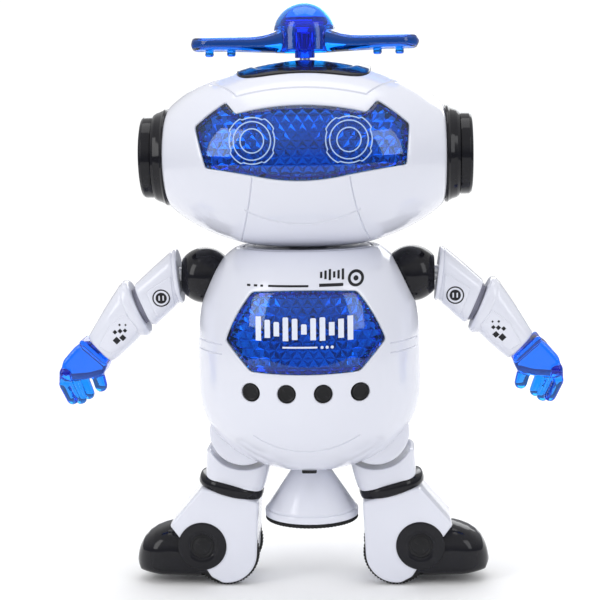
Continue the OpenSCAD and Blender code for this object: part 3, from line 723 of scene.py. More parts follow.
def liftFront(star, line, side=-1):
    # puts a front-view outline (x, z) on the star surface
    line = np.asarray(line, float)
    lowest, highest = np.zeros(len(line)), np.full(len(line), 80.0)
    for _ in range(40):
        middle = (lowest + highest) / 2
        points = np.column_stack([line[:, 0], side * middle, line[:, 1]])
        rays = (points - star["centre"]) / star["scale"]
        size = np.linalg.norm(rays, axis=1)
        outside = size > star["reach"](rays / size[:, None])
        highest = np.where(outside, middle, highest)
        lowest = np.where(outside, lowest, middle)
    return np.column_stack([line[:, 0], side * lowest, line[:, 1]])


def grooveCurves(star, side, lines, halfWidth):
    made = []
    for line, closed in lines:
        if closed:
            for grow in (-halfWidth, 0, halfWidth):
                made.append((liftFront(star, offsetLoop(line, grow), side), True))
        else:
            tangent = np.gradient(line, axis=0)
            tangent /= np.linalg.norm(tangent, axis=1, keepdims=True)
            across = np.column_stack([-tangent[:, 1], tangent[:, 0]])
            for grow in (-halfWidth, 0, halfWidth):
                made.append((liftFront(star, line + across * grow, side), False))
    return made


def grooveDepth(flat, lines, halfWidth, depth):
    dip = np.zeros(len(flat))
    for line, closed in lines:
        low, high = line.min(0) - halfWidth, line.max(0) + halfWidth
        near = np.all((flat >= low) & (flat <= high), axis=1)
        if near.any():
            gap = lineDistance(flat[near], line, closed)
            dip[near] = np.maximum(dip[near], depth * np.clip(1 - gap / halfWidth, 0, 1) ** 0.7)
    return dip


def easedEdge(gap, radius):
    # how far the surface rolls in where it nears an opening; gap is 0 at the edge
    t = np.clip(1 - gap / radius, 0, 1)
    return radius * (1 - np.sqrt(np.maximum(1 - t * t, 0)))


def headReach(rays):
    size = np.linalg.norm(headStar["scale"] * rays, axis=1)
    ear = headShape["earCut"] / np.maximum(np.abs(rays[:, 0]) * headStar["scale"][0], 1e-6) * size
    below = (headStar["centre"][2] - headShape["floor"]) / np.maximum(-rays[:, 2] * headStar["scale"][2], 1e-6) * size
    reach = smoothMin(size, np.minimum(ear, 500), headShape["earRound"])
    reach = smoothMin(reach, np.minimum(below, 500), headShape["floorRound"])
    return reach / size


headShape = {
    "earCut": 52.0,
    "floor": 130.2,
    "earRound": 2.0,
    "floorRound": 1.2,
    "thick": 2.0,
    "spacing": 0.85,
    "seamWidth": 0.34,      # half width of the panel lines
    "seamDepth": 0.45,
    "edgeRound": 0.5,
    "crestX": 24.6, "crestY": 24.8, "crestPower": 5.0,
    "splitGroove": 0.35,
}
headStar = {"centre": np.array([0, 0, 163.7]), "scale": np.array([60.0, 48.0, 35.5]), "reach": headReach}

visorOutline = softLoop(np.vstack([
    [[-38.4, 175.6]],
    bowed((-38.4, 175.6), (-27.1, 184.1), 0.3, 5)[1:],
    bowed((-27.1, 184.1), (-23.3, 179.9), 0.0, 3)[1:],
    bowed((-23.3, 179.9), (23.3, 179.9), 2.9, 25)[1:],
    bowed((23.3, 179.9), (27.1, 184.1), 0.0, 3)[1:],
    bowed((27.1, 184.1), (38.4, 175.6), 0.3, 5)[1:],
    bowed((38.4, 175.6), (37.3, 161.1), 0.0, 5)[1:],
    bowed((37.3, 161.1), (16.2, 158.0), -0.2, 8)[1:],
    bowed((16.2, 158.0), (-16.2, 158.0), 1.8, 15)[1:],
    bowed((-16.2, 158.0), (-37.3, 161.1), -0.2, 8)[1:],
])[:-1], 0.5, 3)

mirrorX = np.array([-1.0, 1.0])
browArc = bowed((-23.4, 185.9), (23.4, 185.9), 2.9, 40)
browBranch = bowed((23.4, 186.2), (33.5, 190.6), 0.8, 12)
chinSide = bowed((17.2, 157.4), (23.9, 132.6), -0.9, 24)
chinSmile = bowed((-20.3, 145.6), (20.3, 145.6), -5.2, 36)
headLines = [(browArc, False), (browBranch, False), (browBranch * mirrorX, False),
             (chinSide, False), (chinSide * mirrorX, False), (chinSmile, False)]
headLines = [(resample(line, 0.6, False), closed) for line, closed in headLines]


def crestCurve(side, grow):
    turn = np.linspace(0, math.pi, 140) * side
    c, s, k = np.cos(turn), np.sin(turn), 2 / headShape["crestPower"]
    plan = np.column_stack([(headShape["crestX"] + grow) * np.sign(c) * np.abs(c) ** k,
                            (headShape["crestY"] + grow) * np.sign(s) * np.abs(s) ** k])
    plan = resample(plan, 0.7, False)
    height = 35.5 * np.sqrt(1 - (plan[:, 0] / 60) ** 2 - (plan[:, 1] / 48) ** 2) + 163.7
    return np.column_stack([plan, height])


def crestGap(points):
    # rough distance outside the crest's oval
    k = headShape["crestPower"]
    across, deep = points[:, 0] / headShape["crestX"], points[:, 1] / headShape["crestY"]
    size = (np.abs(across) ** k + np.abs(deep) ** k) ** (1 / k)
    gap = (size - 1) * 24
    return np.where(points[:, 2] > 185, gap, 100.0)


def buildHead():
    shape = headShape
    for side, name, node in ((-1, "headFrontShell", "head_front_shell"), (1, "headRearShell", "head_rear_shell")):
        front = side < 0
        curves = [(crestCurve(side, grow), False) for grow in (0, 0.25, 0.5)]
        turn = np.linspace(0, math.pi, 60) * side
        curves.append((np.column_stack([7.6 * np.cos(turn), 7.6 * np.sin(turn), np.full(60, shape["floor"])]), False))
        if front:
            curves += [(liftFront(headStar, offsetLoop(visorOutline, grow)), True) for grow in (0, 0.2,
                                                                                                shape["edgeRound"])]
            curves += grooveCurves(headStar, side, headLines, shape["seamWidth"])

        def keep(p):
            keeps = (crestGap(p) > 0) & ~((np.hypot(p[:, 0], p[:, 1]) < 7.6) & (p[:, 2] < 140))
            if front:
                keeps &= signedGap(p[:, [0, 2]], visorOutline) > 0
            return keeps

        def sink(p):
            dip = easedEdge(np.maximum(crestGap(p), 0), shape["edgeRound"])
            dip = np.maximum(dip, shape["splitGroove"] * np.clip(1 - np.abs(p[:, 1]) / 0.5, 0, 1))
            if front:
                flat = p[:, [0, 2]]
                dip = np.maximum(dip, easedEdge(np.maximum(signedGap(flat, visorOutline), 0), shape["edgeRound"]))
                dip = np.maximum(dip, grooveDepth(flat, headLines, shape["seamWidth"], shape["seamDepth"]))
            return dip

        verts, faces = starSheet(headStar, side, curves, keep, sink, shape["spacing"])
        shell = addPiece(name, verts, faces, "whiteShell", "head", [node])
        addSolidify(shell, shape["thick"])
        print(name, len(shell.data.polygons))


buildHead()


def frontPatch(star, outline, lift, edgeRound, spacing, thick, name, paint, body, replaced):
    # a curved pane that fills an opening
    curves = [(liftFront(star, offsetLoop(outline, -grow)), True) for grow in (0, edgeRound * 0.45, edgeRound)]

    def keep(p):
        return signedGap(p[:, [0, 2]], outline) < 0

    def sink(p):
        gap = -signedGap(p[:, [0, 2]], outline)
        return easedEdge(np.clip(gap, 0, 100), edgeRound) - lift

    verts, faces = starSheet(star, -1, curves, keep, sink, spacing)
    pane = addPiece(name, verts, faces, paint, body, replaced)
    return addSolidify(pane, thick)


visorPane = {"gap": 0.15, "raise": -0.1, "edge": 0.4, "thick": 1.6, "spacing": 1.1}
frontPatch(headStar, offsetLoop(visorOutline, -visorPane["gap"]), visorPane["raise"], visorPane["edge"],
           visorPane["spacing"], visorPane["thick"], "visorPane", "blueVisor", "head", ["visor"])


def facetSheet(star, outline, depth, pitchX, pitchZ, tall, thick, name, body, replaced):
    # a reflector pressed into rows of small pyramids
    low, high = outline.min(0) - 1, outline.max(0) + 1
    cols, rows = int((high[0] - low[0]) / pitchX) + 2, int((high[1] - low[1]) / pitchZ) + 2
    grid = {}
    flat, heights, faces = [], [], []

    def corner(i, j):
        if (i, j) not in grid:
            grid[(i, j)] = len(flat)
            flat.append([low[0] + (i + (0.5 if j % 2 else 0)) * pitchX, low[1] + j * pitchZ])
            heights.append(0.0)
        return grid[(i, j)]

    for j in range(rows):
        for i in range(cols):
            if j % 2 == 0:
                cells = [(corner(i, j), corner(i + 1, j), corner(i, j + 1)),
                         (corner(i + 1, j), corner(i + 1, j + 1), corner(i, j + 1))]
            else:
                cells = [(corner(i, j), corner(i + 1, j), corner(i + 1, j + 1)),
                         (corner(i, j), corner(i + 1, j + 1), corner(i, j + 1))]
            for cell in cells:
                middle = np.mean([flat[k] for k in cell], axis=0)
                tip = len(flat)
                flat.append(middle.tolist())
                heights.append(tall)
                for a, b in ((0, 1), (1, 2), (2, 0)):
                    faces.append((cell[a], cell[b], tip))
    flat, heights = np.array(flat), np.array(heights)
    inside = signedGap(flat, outline, 8.0)
    faces = [f for f in faces if min(inside[k] for k in f) < 0.4]
    used = sorted({k for f in faces for k in f})
    renumber = {k: n for n, k in enumerate(used)}
    flat, heights = flat[used], heights[used]
    place = liftFront(star, flat)
    sheet = sheetFromPoints(star, -1, place)
    normal = sheetNormals(star, -1, sheet, place)
    verts = place - normal * (depth - heights)[:, None]
    obj = addPiece(name, verts, [tuple(renumber[k] for k in f) for f in faces], "mirrorFilm", body, replaced, 8)
    return addSolidify(obj, thick, 8)


facetSheet(headStar, visorOutline, 3.2, 4.2, 3.2, 1.5, 0.6, "visorFacets", "head", ["visor_reflector"])


def ringLoop(x, z, radius, notches=(), turnStep=4):
    # circle, pushed out a little over some arcs
    pts = []
    for deg in np.arange(0, 360, turnStep):
        r = radius
        for start, end, more in notches:
            if start <= deg % 360 < end:
                r += more
        pts.append([x + r * math.cos(math.radians(deg)), z + r * math.sin(math.radians(deg))])
    return np.array(pts)


eyeMarks = {
    "x": 17.0, "z": 170.4,
    "radii": (4.2, 6.7, 8.1),
    "line": 0.42,
    "notches": ((28, 62, 0.7), (118, 160, 0.7), (205, 248, 0.7), (300, 334, 0.7)),
}


def buildEyes():
    loops, holes = [], []
    for side in (-1, 1):
        x = side * eyeMarks["x"]
        for k, radius in enumerate(eyeMarks["radii"]):
            notches = eyeMarks["notches"] if k == 2 else ()
            loops.append(ringLoop(x, eyeMarks["z"], radius + eyeMarks["line"] / 2, notches))
            holes.append(ringLoop(x, eyeMarks["z"], radius - eyeMarks["line"] / 2, notches))
    # every second ring edge is a hole, so the loops are tested in pairs
    curves = [(liftFront(headStar, resample(loop, 0.4, True)), True) for loop in loops + holes]

    def keep(p):
        flat = p[:, [0, 2]]
        count = np.zeros(len(p), int)
        for loop in loops + holes:
            count += insideLoop(flat, loop)
        return (count % 2 == 1) & (p[:, 1] < 0)

    lift = visorPane["raise"] + 0.05
    verts, faces = starSheet(headStar, -1, curves, keep, lambda p: np.full(len(p), -lift), 2.5)
    mark = addPiece("eyeRings", verts, faces, "paleInk", "head")
    addSolidify(mark, 0.08)


buildEyes()
print("head ready")

# torso

torsoShape = {
    "radius": 42.5, "middle": 78.0, "up": 56.0, "down": 34.0, "upPower": 3.2, "downPower": 2.2,
    "top": 129.6, "floor": 44.6, "floorRound": 0.8,
    "centre": 88.0,
    "thick": 2.0, "spacing": 0.9,
    "seamWidth": 0.32, "seamDepth": 0.40, "edgeRound": 0.45,
    "hipX": 12.8, "hipDeep": 14.4, "hipTop": 62.8,
    "plugPitch": 13.3, "plugZ": 79.8, "plugR": 3.4,
}


def barrelRadius(z):
    s = torsoShape
    z = np.asarray(z, float)
    up = np.clip((z - s["middle"]) / s["up"], 0, 1)
    down = np.clip((s["middle"] - z) / s["down"], 0, 1)
    return s["radius"] * np.where(z > s["middle"], (1 - up ** s["upPower"]) ** (1 / s["upPower"]),
                                  (1 - down ** s["downPower"]) ** (1 / s["downPower"]))


def torsoProfile():
    s = torsoShape
    heights = s["floor"] + (s["top"] - s["floor"]) * (1 - np.cos(np.linspace(0, math.pi, 240))) / 2
    curve = np.column_stack([barrelRadius(heights), heights])
    path = np.vstack([[0, s["floor"]], curve, [0, s["top"]]])
    fine = resample(path, 0.25, False)
    for _ in range(10):
        fine[1:-1] = fine[1:-1] * 0.5 + (fine[:-2] + fine[2:]) * 0.25
    angle = np.arctan2(fine[:, 1] - s["centre"], fine[:, 0])
    size = np.hypot(fine[:, 1] - s["centre"], fine[:, 0])
    return angle, size


profileAngle, profileSize = torsoProfile()


def torsoReach(rays):
    angle = np.arctan2(rays[:, 2], np.hypot(rays[:, 0], rays[:, 1]))
    return np.interp(angle, profileAngle, profileSize) / (torsoShape["radius"] * np.linalg.norm(rays, axis=1))


torsoStar = {"centre": np.array([0, 0, torsoShape["centre"]]), "scale": np.full(3, torsoShape["radius"]),
             "reach": torsoReach}

windowOutline = softLoop(np.vstack([
    bowed((-29.4, 97.9), (-19.1, 116.0), 0.9, 9),
    bowed((-19.1, 116.0), (19.1, 116.0), 0.8, 15)[1:],
    bowed((19.1, 116.0), (29.4, 97.9), 0.9, 9)[1:],
    bowed((29.4, 97.9), (19.9, 87.4), 0.1, 7)[1:],
    bowed((19.9, 87.4), (-19.9, 87.4), 0.6, 15)[1:],
    bowed((-19.9, 87.4), (-29.4, 97.9), 0.1, 7)[1:],
])[:-1], 0.5, 4)
plugLoops = [ringLoop(k * torsoShape["plugPitch"], torsoShape["plugZ"], torsoShape["plugR"], (), 10) for k in (-1.5,
                                                                                                               -0.5,
                                                                                                               0.5,
                                                                                                               1.5)]

bellySmile = resample(bowed((-19.2, 63.2), (19.2, 63.2), -5.9, 30), 0.6, False)
sideTicks = [resample(np.array([[side * 31.0, z], [side * 40.5, z]]), 0.6, False) for side in (-1, 1) for z in (96.0,
                                                                                                                92.5)]
torsoLines = [(bellySmile, False)] + [(line, False) for line in sideTicks]

doorShape = {
    "gap": 0.25, "edge": 0.45, "spacing": 1.0, "thick": 2.0, "screw": (0, 66, 1.7),
    "lineHeights": (106.0, 108.2, 110.4), "lineHalf": 7.0,
}
doorOutline = softLoop([[-23, 62], [-23, 116], [23, 116], [23, 62]], 0.5, 8)
rearHoles = [ringLoop(x, z, 2.8, (), 12) for x in (-33, 33) for z in (80, 103)]
soundSlots = [softLoop([[3.4 * i - 0.7, 119], [3.4 * i + 0.7, 119], [3.4 * i + 0.7, 124 - abs(i)],
                        [3.4 * i - 0.7, 124 - abs(i)]], 0.35, 2)
              for i in range(-2, 3)]
switchSlot = softLoop([[-5.4, 52.9], [5.4, 52.9], [5.4, 58.3], [-5.4, 58.3]], 0.35, 2)


def hipCurve(side, sideX):
    # where the space for a thigh cuts the barrel, as seen on the shell's skin
    s = torsoShape
    heights = np.linspace(s["hipTop"], s["floor"] + 0.8, 60)
    radius = barrelRadius(heights)
    good = radius > math.hypot(s["hipX"], s["hipDeep"])
    x = np.sqrt(radius[good] ** 2 - s["hipDeep"] ** 2)
    front = np.column_stack([sideX * x, np.full(len(x), side * s["hipDeep"]), heights[good]])
    ys = np.linspace(s["hipDeep"], 0, 20)
    ring = float(barrelRadius(s["hipTop"]))
    ledge = np.column_stack([sideX * np.sqrt(ring ** 2 - ys ** 2), side * ys, np.full(20, s["hipTop"])])
    return [(front, False), (ledge, False)]


def inHipSpace(p):
    s = torsoShape
    return (np.abs(p[:, 0]) > s["hipX"]) & (np.abs(p[:, 1]) < s["hipDeep"]) & (p[:, 2] < s["hipTop"])


def buildTorso():
    s = torsoShape
    for side, name, node in ((-1, "torsoFrontShell", "torso_front_shell"), (1, "torsoRearShell", "torso_rear_shell")):
        front = side < 0
        openings = [windowOutline] + plugLoops if front else [doorOutline, switchSlot] + rearHoles + soundSlots
        lines = torsoLines if front else []
        curves = hipCurve(side, 1) + hipCurve(side, -1)
        for loop in openings:
            curves += [(liftFront(torsoStar, offsetLoop(loop, grow), side), True) for grow in (0,
                                                                                               s["edgeRound"] * 0.5,
                                                                                               s["edgeRound"])]
        curves += grooveCurves(torsoStar, side, lines, s["seamWidth"])

        def keep(p):
            keeps = ~inHipSpace(p)
            for loop in openings:
                keeps &= signedGap(p[:, [0, 2]], loop) > 0
            keeps &= ~((np.hypot(p[:, 0], p[:, 1]) < 24.6) & (p[:, 2] > 120))
            # room for the drive shaft and, under the shoulder balls, for the axles
            keeps &= ~((np.hypot(p[:, 0], p[:, 1]) < 5.0) & (p[:, 2] < 50))
            keeps &= ~(np.hypot(p[:, 1], p[:, 2] - 118.6) < 6.5) | (np.abs(p[:, 0]) < 20)
            return keeps

        def sink(p):
            flat = p[:, [0, 2]]
            dip = s["seamDepth"] * np.clip(1 - np.abs(p[:, 1]) / 0.45, 0, 1)
            for loop in openings:
                dip = np.maximum(dip, easedEdge(np.maximum(signedGap(flat, loop), 0), s["edgeRound"]))
            return np.maximum(dip, grooveDepth(flat, lines, s["seamWidth"], s["seamDepth"]))

        turn = np.linspace(0, math.pi, 100) * side
        curves.append((np.column_stack([24.6 * np.cos(turn), 24.6 * np.sin(turn), np.full(100, s["top"] - 0.02)]),
                       False))
        verts, faces = starSheet(torsoStar, side, curves, keep, sink, s["spacing"])
        shell = addPiece(name, verts, faces, "whiteShell", "torso", [node])
        addSolidify(shell, s["thick"])
        print(name, len(shell.data.polygons))


buildTorso()
frontPatch(torsoStar, offsetLoop(windowOutline, -0.15), -0.1, 0.4, 1.1, 1.5, "chestWindow", "blueVisor", "torso",
           ["chest_window"])
facetSheet(torsoStar, windowOutline, 3.2, 4.2, 3.2, 1.5, 0.6, "windowFacets", "torso", ["window_reflector"])


# turned pieces


def lathe(profile, segments, origin, axis, ribs=None):
    # profile is (radius, height along axis); ribs shapes the radius round the turn
    origin, axis = Vector(origin), Vector(axis).normalized()
    side = axis.orthogonal().normalized()
    other = axis.cross(side)
    verts, faces = [], []
    rings = []
    for radius, height in profile:
        if radius < 1e-6:
            rings.append([len(verts)])
            verts.append(origin + axis * height)
            continue
        ring = []
        for k in range(segments):
            turn = 2 * math.pi * k / segments
            r = radius - (ribs(k, radius, height) if ribs else 0)
            ring.append(len(verts))
            verts.append(origin + axis * height + (side * math.cos(turn) + other * math.sin(turn)) * r)
        rings.append(ring)
    for low, high in zip(rings, rings[1:]):
        for k in range(segments):
            n = (k + 1) % segments
            if len(low) == 1 and len(high) == 1:
                continue
            if len(low) == 1:
                faces.append((low[0], high[n], high[k]))
            elif len(high) == 1:
                faces.append((low[k], low[n], high[0]))
            else:
                faces.append((low[k], low[n], high[n], high[k]))
    return [tuple(v) for v in verts], faces


def roundPath(points, radius, steps=4):
    # open path with its inner corners turned into arcs; radius may be one per point
    pts = [np.array(p, float) for p in points]
    radii = radius if isinstance(radius, (list, tuple)) else [radius] * len(pts)
    made = [pts[0]]
    for k in range(1, len(pts) - 1):
        before, here, after = pts[k - 1], pts[k], pts[k + 1]
        a, b = before - here, after - here
        la, lb = np.linalg.norm(a), np.linalg.norm(b)
        a, b = a / la, b / lb
        angle = math.acos(np.clip(a @ b, -1, 1))
        if radii[k] <= 0 or angle > math.pi - 0.05:
            made.append(here)
            continue
        cut = min(radii[k] / math.tan(angle / 2), la * 0.48, lb * 0.48)
        start, end = here + a * cut, here + b * cut
        for n in range(steps + 1):
            t = n / steps
            made.append((1 - t) ** 2 * start + 2 * t * (1 - t) * here + t * t * end)
    made.append(pts[-1])
    return [tuple(p) for p in made]


def turned(name, profile, segments, origin, axis, paint, body, replaced=(), ribs=None, sharp=38):
    verts, faces = lathe(profile, segments, origin, axis, ribs)
    obj = addPiece(name, verts, faces, paint, body, replaced, sharp)
    closeWell(obj)
    return obj


def closeWell(obj):
    # faces all point outwards
    work = bmesh.new()
    work.from_mesh(obj.data)
    bmesh.ops.remove_doubles(work, verts=work.verts, dist=1e-7)
    bmesh.ops.recalc_face_normals(work, faces=work.faces)
    work.to_mesh(obj.data)
    work.free()


def joinPieces(objs, name):
    # first object takes in the others
    work = bmesh.new()
    for obj in objs:
        shift = obj.matrix_world.copy()
        part = obj.data.copy()
        part.transform(shift)
        work.from_mesh(part)
        bpy.data.meshes.remove(part)
    keeper = objs[0]
    work.to_mesh(keeper.data)
    work.free()
    keeper.name = name
    replaced = sorted({n for o in objs for n in list(o.get("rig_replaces", []))})
    for obj in objs[1:]:
        bpy.data.objects.remove(obj)
    if replaced:
        keeper["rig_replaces"] = replaced
    return keeper


earShape = {
    "x": 52.0, "z": 163.7, "segments": 112,
    # piece: CAD node, outline as (radius, height), how much each corner is rounded
    "pieces": {
        "earFlange": ("ear_flanges", [(0, -1.5), (11.9, -1.5), (11.9, -0.2), (17.2, -0.3), (18.2, 0.2), (18.3, 0.9),
                                      (17.6, 1.6), (17.0, 3.0), (16.6, 4.2), (15.9, 5.3), (14.2, 5.4), (0, 5.4)],
                      [0, 0, 0, 0.2, 0.3, 0.3, 0.5, 0.6, 0.3, 0.3, 0, 0]),
        "earCap": ("ear_caps", [(0, 5.0), (14.4, 5.0), (15.1, 5.5), (15.3, 6.2), (15.25, 8.9), (14.6, 9.8),
                                (13.2, 10.1),
                                (12.6, 9.8), (11.9, 9.8), (11.2, 10.1), (6.4, 10.35), (5.9, 10.1), (5.3, 10.1),
                                (4.8, 10.4), (0, 10.45)],
                   [0, 0.2, 0.3, 0.3, 0.7, 0.5, 0.2, 0.2, 0.2, 0.2, 0.2, 0.2, 0.2, 0.2, 0]),
    },
}
for side, word in ((1, "Right"), (-1, "Left")):
    spot = (side * earShape["x"], 0, earShape["z"])
    for name, (node, outline, rounding) in earShape["pieces"].items():
        turned(name + word, roundPath(outline, rounding), earShape["segments"], spot, (side, 0, 0), "glossBlack",
               "head",
               [node] if side > 0 else [])
print("ears ready")

# crest: a glossy cap let into the crown
crestShape = {
    "x": 24.3, "y": 24.5, "power": 5.0,      # half sizes and squareness
    "crown": (60, 48, 35.5), "middle": 163.7,  # half sizes and centre of the head under it
    "rise": 0.45, "thick": 2.2,
    "hole": 0.14,                            # share left open under the rotor
    "step": (0.80, 0.02, 0.35),              # where the raised rim ends, its slope, its height
    "lip": ((1.008, 0.18), (1.013, 0.6)),    # size and drop of the last two rings
    "rings": 26, "segments": 120,
}


def buildCrest():
    s = crestShape
    verts, faces = [], []
    sizes = [(s["hole"] + (1 - s["hole"]) * k / s["rings"], 0) for k in range(s["rings"] + 1)] + list(s["lip"])
    stepAt, slope, deep = s["step"]
    halfX, halfY, halfZ = s["crown"]
    for size, drop in sizes:
        for n in range(s["segments"]):
            turn = 2 * math.pi * n / s["segments"]
            c, d, p = math.cos(turn), math.sin(turn), 2 / s["power"]
            x = s["x"] * size * math.copysign(abs(c) ** p, c)
            y = s["y"] * size * math.copysign(abs(d) ** p, d)
            z = s["middle"] + halfZ * math.sqrt(1 - (x / halfX) ** 2 - (y / halfY) ** 2) + s["rise"] - drop
            if size < stepAt:
                z -= deep * min(1, (stepAt - size) / slope)
            verts.append((x, y, z))
    count = s["segments"]
    for k in range(len(sizes) - 1):
        for n in range(count):
            m = (n + 1) % count
            faces.append((k * count + n, (k + 1) * count + n, (k + 1) * count + m, k * count + m))
    crest = addPiece("crestDish", verts, faces, "glossBlack", "head", ["crest_dish"])
    addSolidify(crest, s["thick"])


buildCrest()

plugShape = {
    "places": (-1.5, -0.5, 0.5, 1.5), "round": 0.2, "proud": 0.15, "segments": 48,
    "lean": 0.75, "bodyRadius": 42.5,        # they turn a little with the belly
    "outline": [(0, -0.9), (2.2, -0.85), (2.75, -0.55), (3.05, -0.5), (3.25, -0.75), (3.3, -1.6), (3.3, -4.2),
                (0, -4.2)],
}


def buildPlugs():
    s = plugShape
    objs = []
    for k in s["places"]:
        x = k * torsoShape["plugPitch"]
        spot = liftFront(torsoStar, np.array([[x, torsoShape["plugZ"]]]))[0] + np.array([0, s["proud"], 0])
        slope = x / s["bodyRadius"]
        axis = (slope * s["lean"], -math.sqrt(1 - slope * slope), 0)
        objs.append(turned("chestPlug", roundPath(s["outline"], s["round"]), s["segments"], tuple(spot), axis,
                           "satinBlack", "torso", ["chest_plugs"] if not objs else []))
    joinPieces(objs, "chestPlugs")


buildPlugs()

neckShape = {
    "segments": 120,
    "outline": [(0, 126.9), (24.45, 126.9), (24.45, 129.2), (23.6, 129.75), (20.5, 129.8), (20.0, 129.5), (8, 129.5),
                (7.0, 130.0), (6.9, 133.4), (4.2, 133.4), (0, 133.4)],
    "round": [0, 0.2, 0.5, 0.4, 0.2, 0.2, 0.5, 0.4, 0.3, 0, 0],
}
turned("neckCollar", roundPath(neckShape["outline"], neckShape["round"]), neckShape["segments"], (0, 0, 0), (0, 0, 1),
       "whiteShell", "torso", ["neck_collar"])

ballShape = {"x": 39.4, "z": 118.6, "r": 10.6, "bore": 3.4, "inner": (6.4, -7.9), "outer": (6.5, 8.4), "segments": 96}
for side, word in ((1, "Right"), (-1, "Left")):
    s = ballShape
    arc = [(s["r"] * math.cos(math.radians(d)), s["r"] * math.sin(math.radians(d))) for d in range(-50, 53, 3)]
    ends = [(s["bore"], s["inner"][1]), s["inner"]], [s["outer"], (s["bore"], s["outer"][1])]
    turned("shoulderBall" + word, ends[0] + arc + ends[1] + ends[0][:1], s["segments"], (side * s["x"], 0, s["z"]),
           (side, 0, 0), "glossBlack", "torso", ["shoulder_ball_" + word.lower()])

coneShape = {
    "segments": 128,
    "outline": [(0, 44.3), (2.3, 44.3), (6.4, 44.3), (7.15, 43.7), (17.1, 28.9), (17.2, 28.2), (17.9, 27.9),
                (18.05, 27.3),
                (18.0, 25.5), (17.5, 25.2), (17.1, 25.4), (17.1, 27.0), (14.6, 27.0), (14.6, 28.2), (4.8, 38.6),
                (0, 38.6)],
    "round": [0, 0, 0.5, 0.5, 0.4, 0.15, 0.2, 0.3, 0.3, 0.1, 0.1, 0, 0, 0, 0, 0],
}
turned("driveCone", roundPath(coneShape["outline"], coneShape["round"], 5), coneShape["segments"], (0, 0, 0),
       (0, 0, 1),
       "whiteShell", "cone", ["drive_cone"])

tyreShape = {
    "segments": 288, "rib": 0.28, "ribFrom": 17.3, "ribBelow": 25.0,
    "outline": [(14.85, 26.9), (16.9, 26.9), (16.95, 25.0), (17.9, 24.95), (17.95, 24.2), (17.5, 23.75),
                (15.2, 23.75),
                (14.85, 24.1), (14.85, 26.9)],
    "round": [0, 0.1, 0.1, 0.15, 0.3, 0.3, 0.3, 0.2, 0],
}


def tyreRibs(k, radius, height):
    inBand = radius > tyreShape["ribFrom"] and height < tyreShape["ribBelow"]
    return tyreShape["rib"] if k % 4 in (0, 1) and inBand else 0.0


turned("coneTyre", roundPath(tyreShape["outline"], tyreShape["round"], 3), tyreShape["segments"], (0, 0, 0),
       (0, 0, 1),
       "tyreRubber", "cone", ["cone_tyre"], tyreRibs, 50)
print("turned pieces ready")


def superRing(centre, across, deep, halfAcross, halfDeep, power, segments):
    turns = np.linspace(0, 2 * math.pi, segments, endpoint=False)
    c, s = np.cos(turns), np.sin(turns)
    x = np.sign(c) * np.abs(c) ** (2 / power) * halfAcross
    y = np.sign(s) * np.abs(s) ** (2 / power) * halfDeep
    return np.array(centre) + np.outer(x, np.array(across)) + np.outer(y, np.array(deep))


def loftRings(rings):
    segments = len(rings[0])
    verts = [tuple(p) for ring in rings for p in ring]
    faces = []
    for k in range(len(rings) - 1):
        for n in range(segments):
            m = (n + 1) % segments
            faces.append((k * segments + n, k * segments + m, (k + 1) * segments + m, (k + 1) * segments + n))
    faces.append(tuple(range(segments))[::-1])
    faces.append(tuple((len(rings) - 1) * segments + n for n in range(segments)))
    return verts, faces


def prism(name, outline, y0, y1, paint, body, replaced, side, width=1.2, segments=4, step=0.8):
    loop = softLoop(outline, step, 1)
    flip = np.array([side, 1, 1])
    front = np.column_stack([loop[:, 0], np.full(len(loop), y0), loop[:, 1]]) * flip
    back = np.column_stack([loop[:, 0], np.full(len(loop), y1), loop[:, 1]]) * flip
    verts, faces = loftRings([front, back])
    obj = addPiece(name, verts, faces, paint, body, replaced)
    closeWell(obj)
    return addBevel(obj, width, segments, 50)


# hip bulges, part of the torso covers
hipShape = {"x": 25.0, "z": 60.0, "r": 12.7, "deep": 14.3, "round": 1.6, "segments": 128}
for side, word in ((1, "Right"), (-1, "Left")):
    s = hipShape
    path = roundPath([(0, -s["deep"]), (s["r"], -s["deep"]), (s["r"], s["deep"]), (0, s["deep"])],
                     [0, s["round"], s["round"], 0], 6)
    turned("hipBulge" + word, path, s["segments"], (side * s["x"], 0, s["z"]), (0, 1, 0), "whiteShell", "torso")

# small dark catch under the front edge of the body
catchShape = {"half": 2.8, "low": 44.9, "high": 46.6, "front": -17.0, "back": -13.0, "edge": 0.25}
catchLoop = [(side * catchShape["half"], catchShape[end]) for side,
             end in ((-1, "low"), (1, "low"), (1, "high"), (-1, "high"))]
prism("bodyCatch", catchLoop, catchShape["front"], catchShape["back"], "satinBlack", "torso", [], 1,
      catchShape["edge"], 2, 0.5)

# battery door


def rearPatch(star, outline, lift, edgeRound, spacing, thick, name, paint, body, replaced, holes=(), lines=()):
    curves = [(liftFront(star, offsetLoop(outline, -grow), 1), True) for grow in (0, edgeRound * 0.45, edgeRound)]
    curves += [(liftFront(star, hole, 1), True) for hole in holes]
    curves += grooveCurves(star, 1, lines, 0.5)

    def keep(p):
        keeps = signedGap(p[:, [0, 2]], outline) < 0
        for hole in holes:
            keeps &= ~insideLoop(p[:, [0, 2]], hole)
        return keeps

    def sink(p):
        gap = -signedGap(p[:, [0, 2]], outline)
        dip = easedEdge(np.clip(gap, 0, 100), edgeRound)
        return np.maximum(dip, grooveDepth(p[:, [0, 2]], lines, 0.5, 0.45)) - lift

    verts, faces = starSheet(star, 1, curves, keep, sink, spacing)
    pane = addPiece(name, verts, faces, paint, body, replaced)
    return addSolidify(pane, thick)


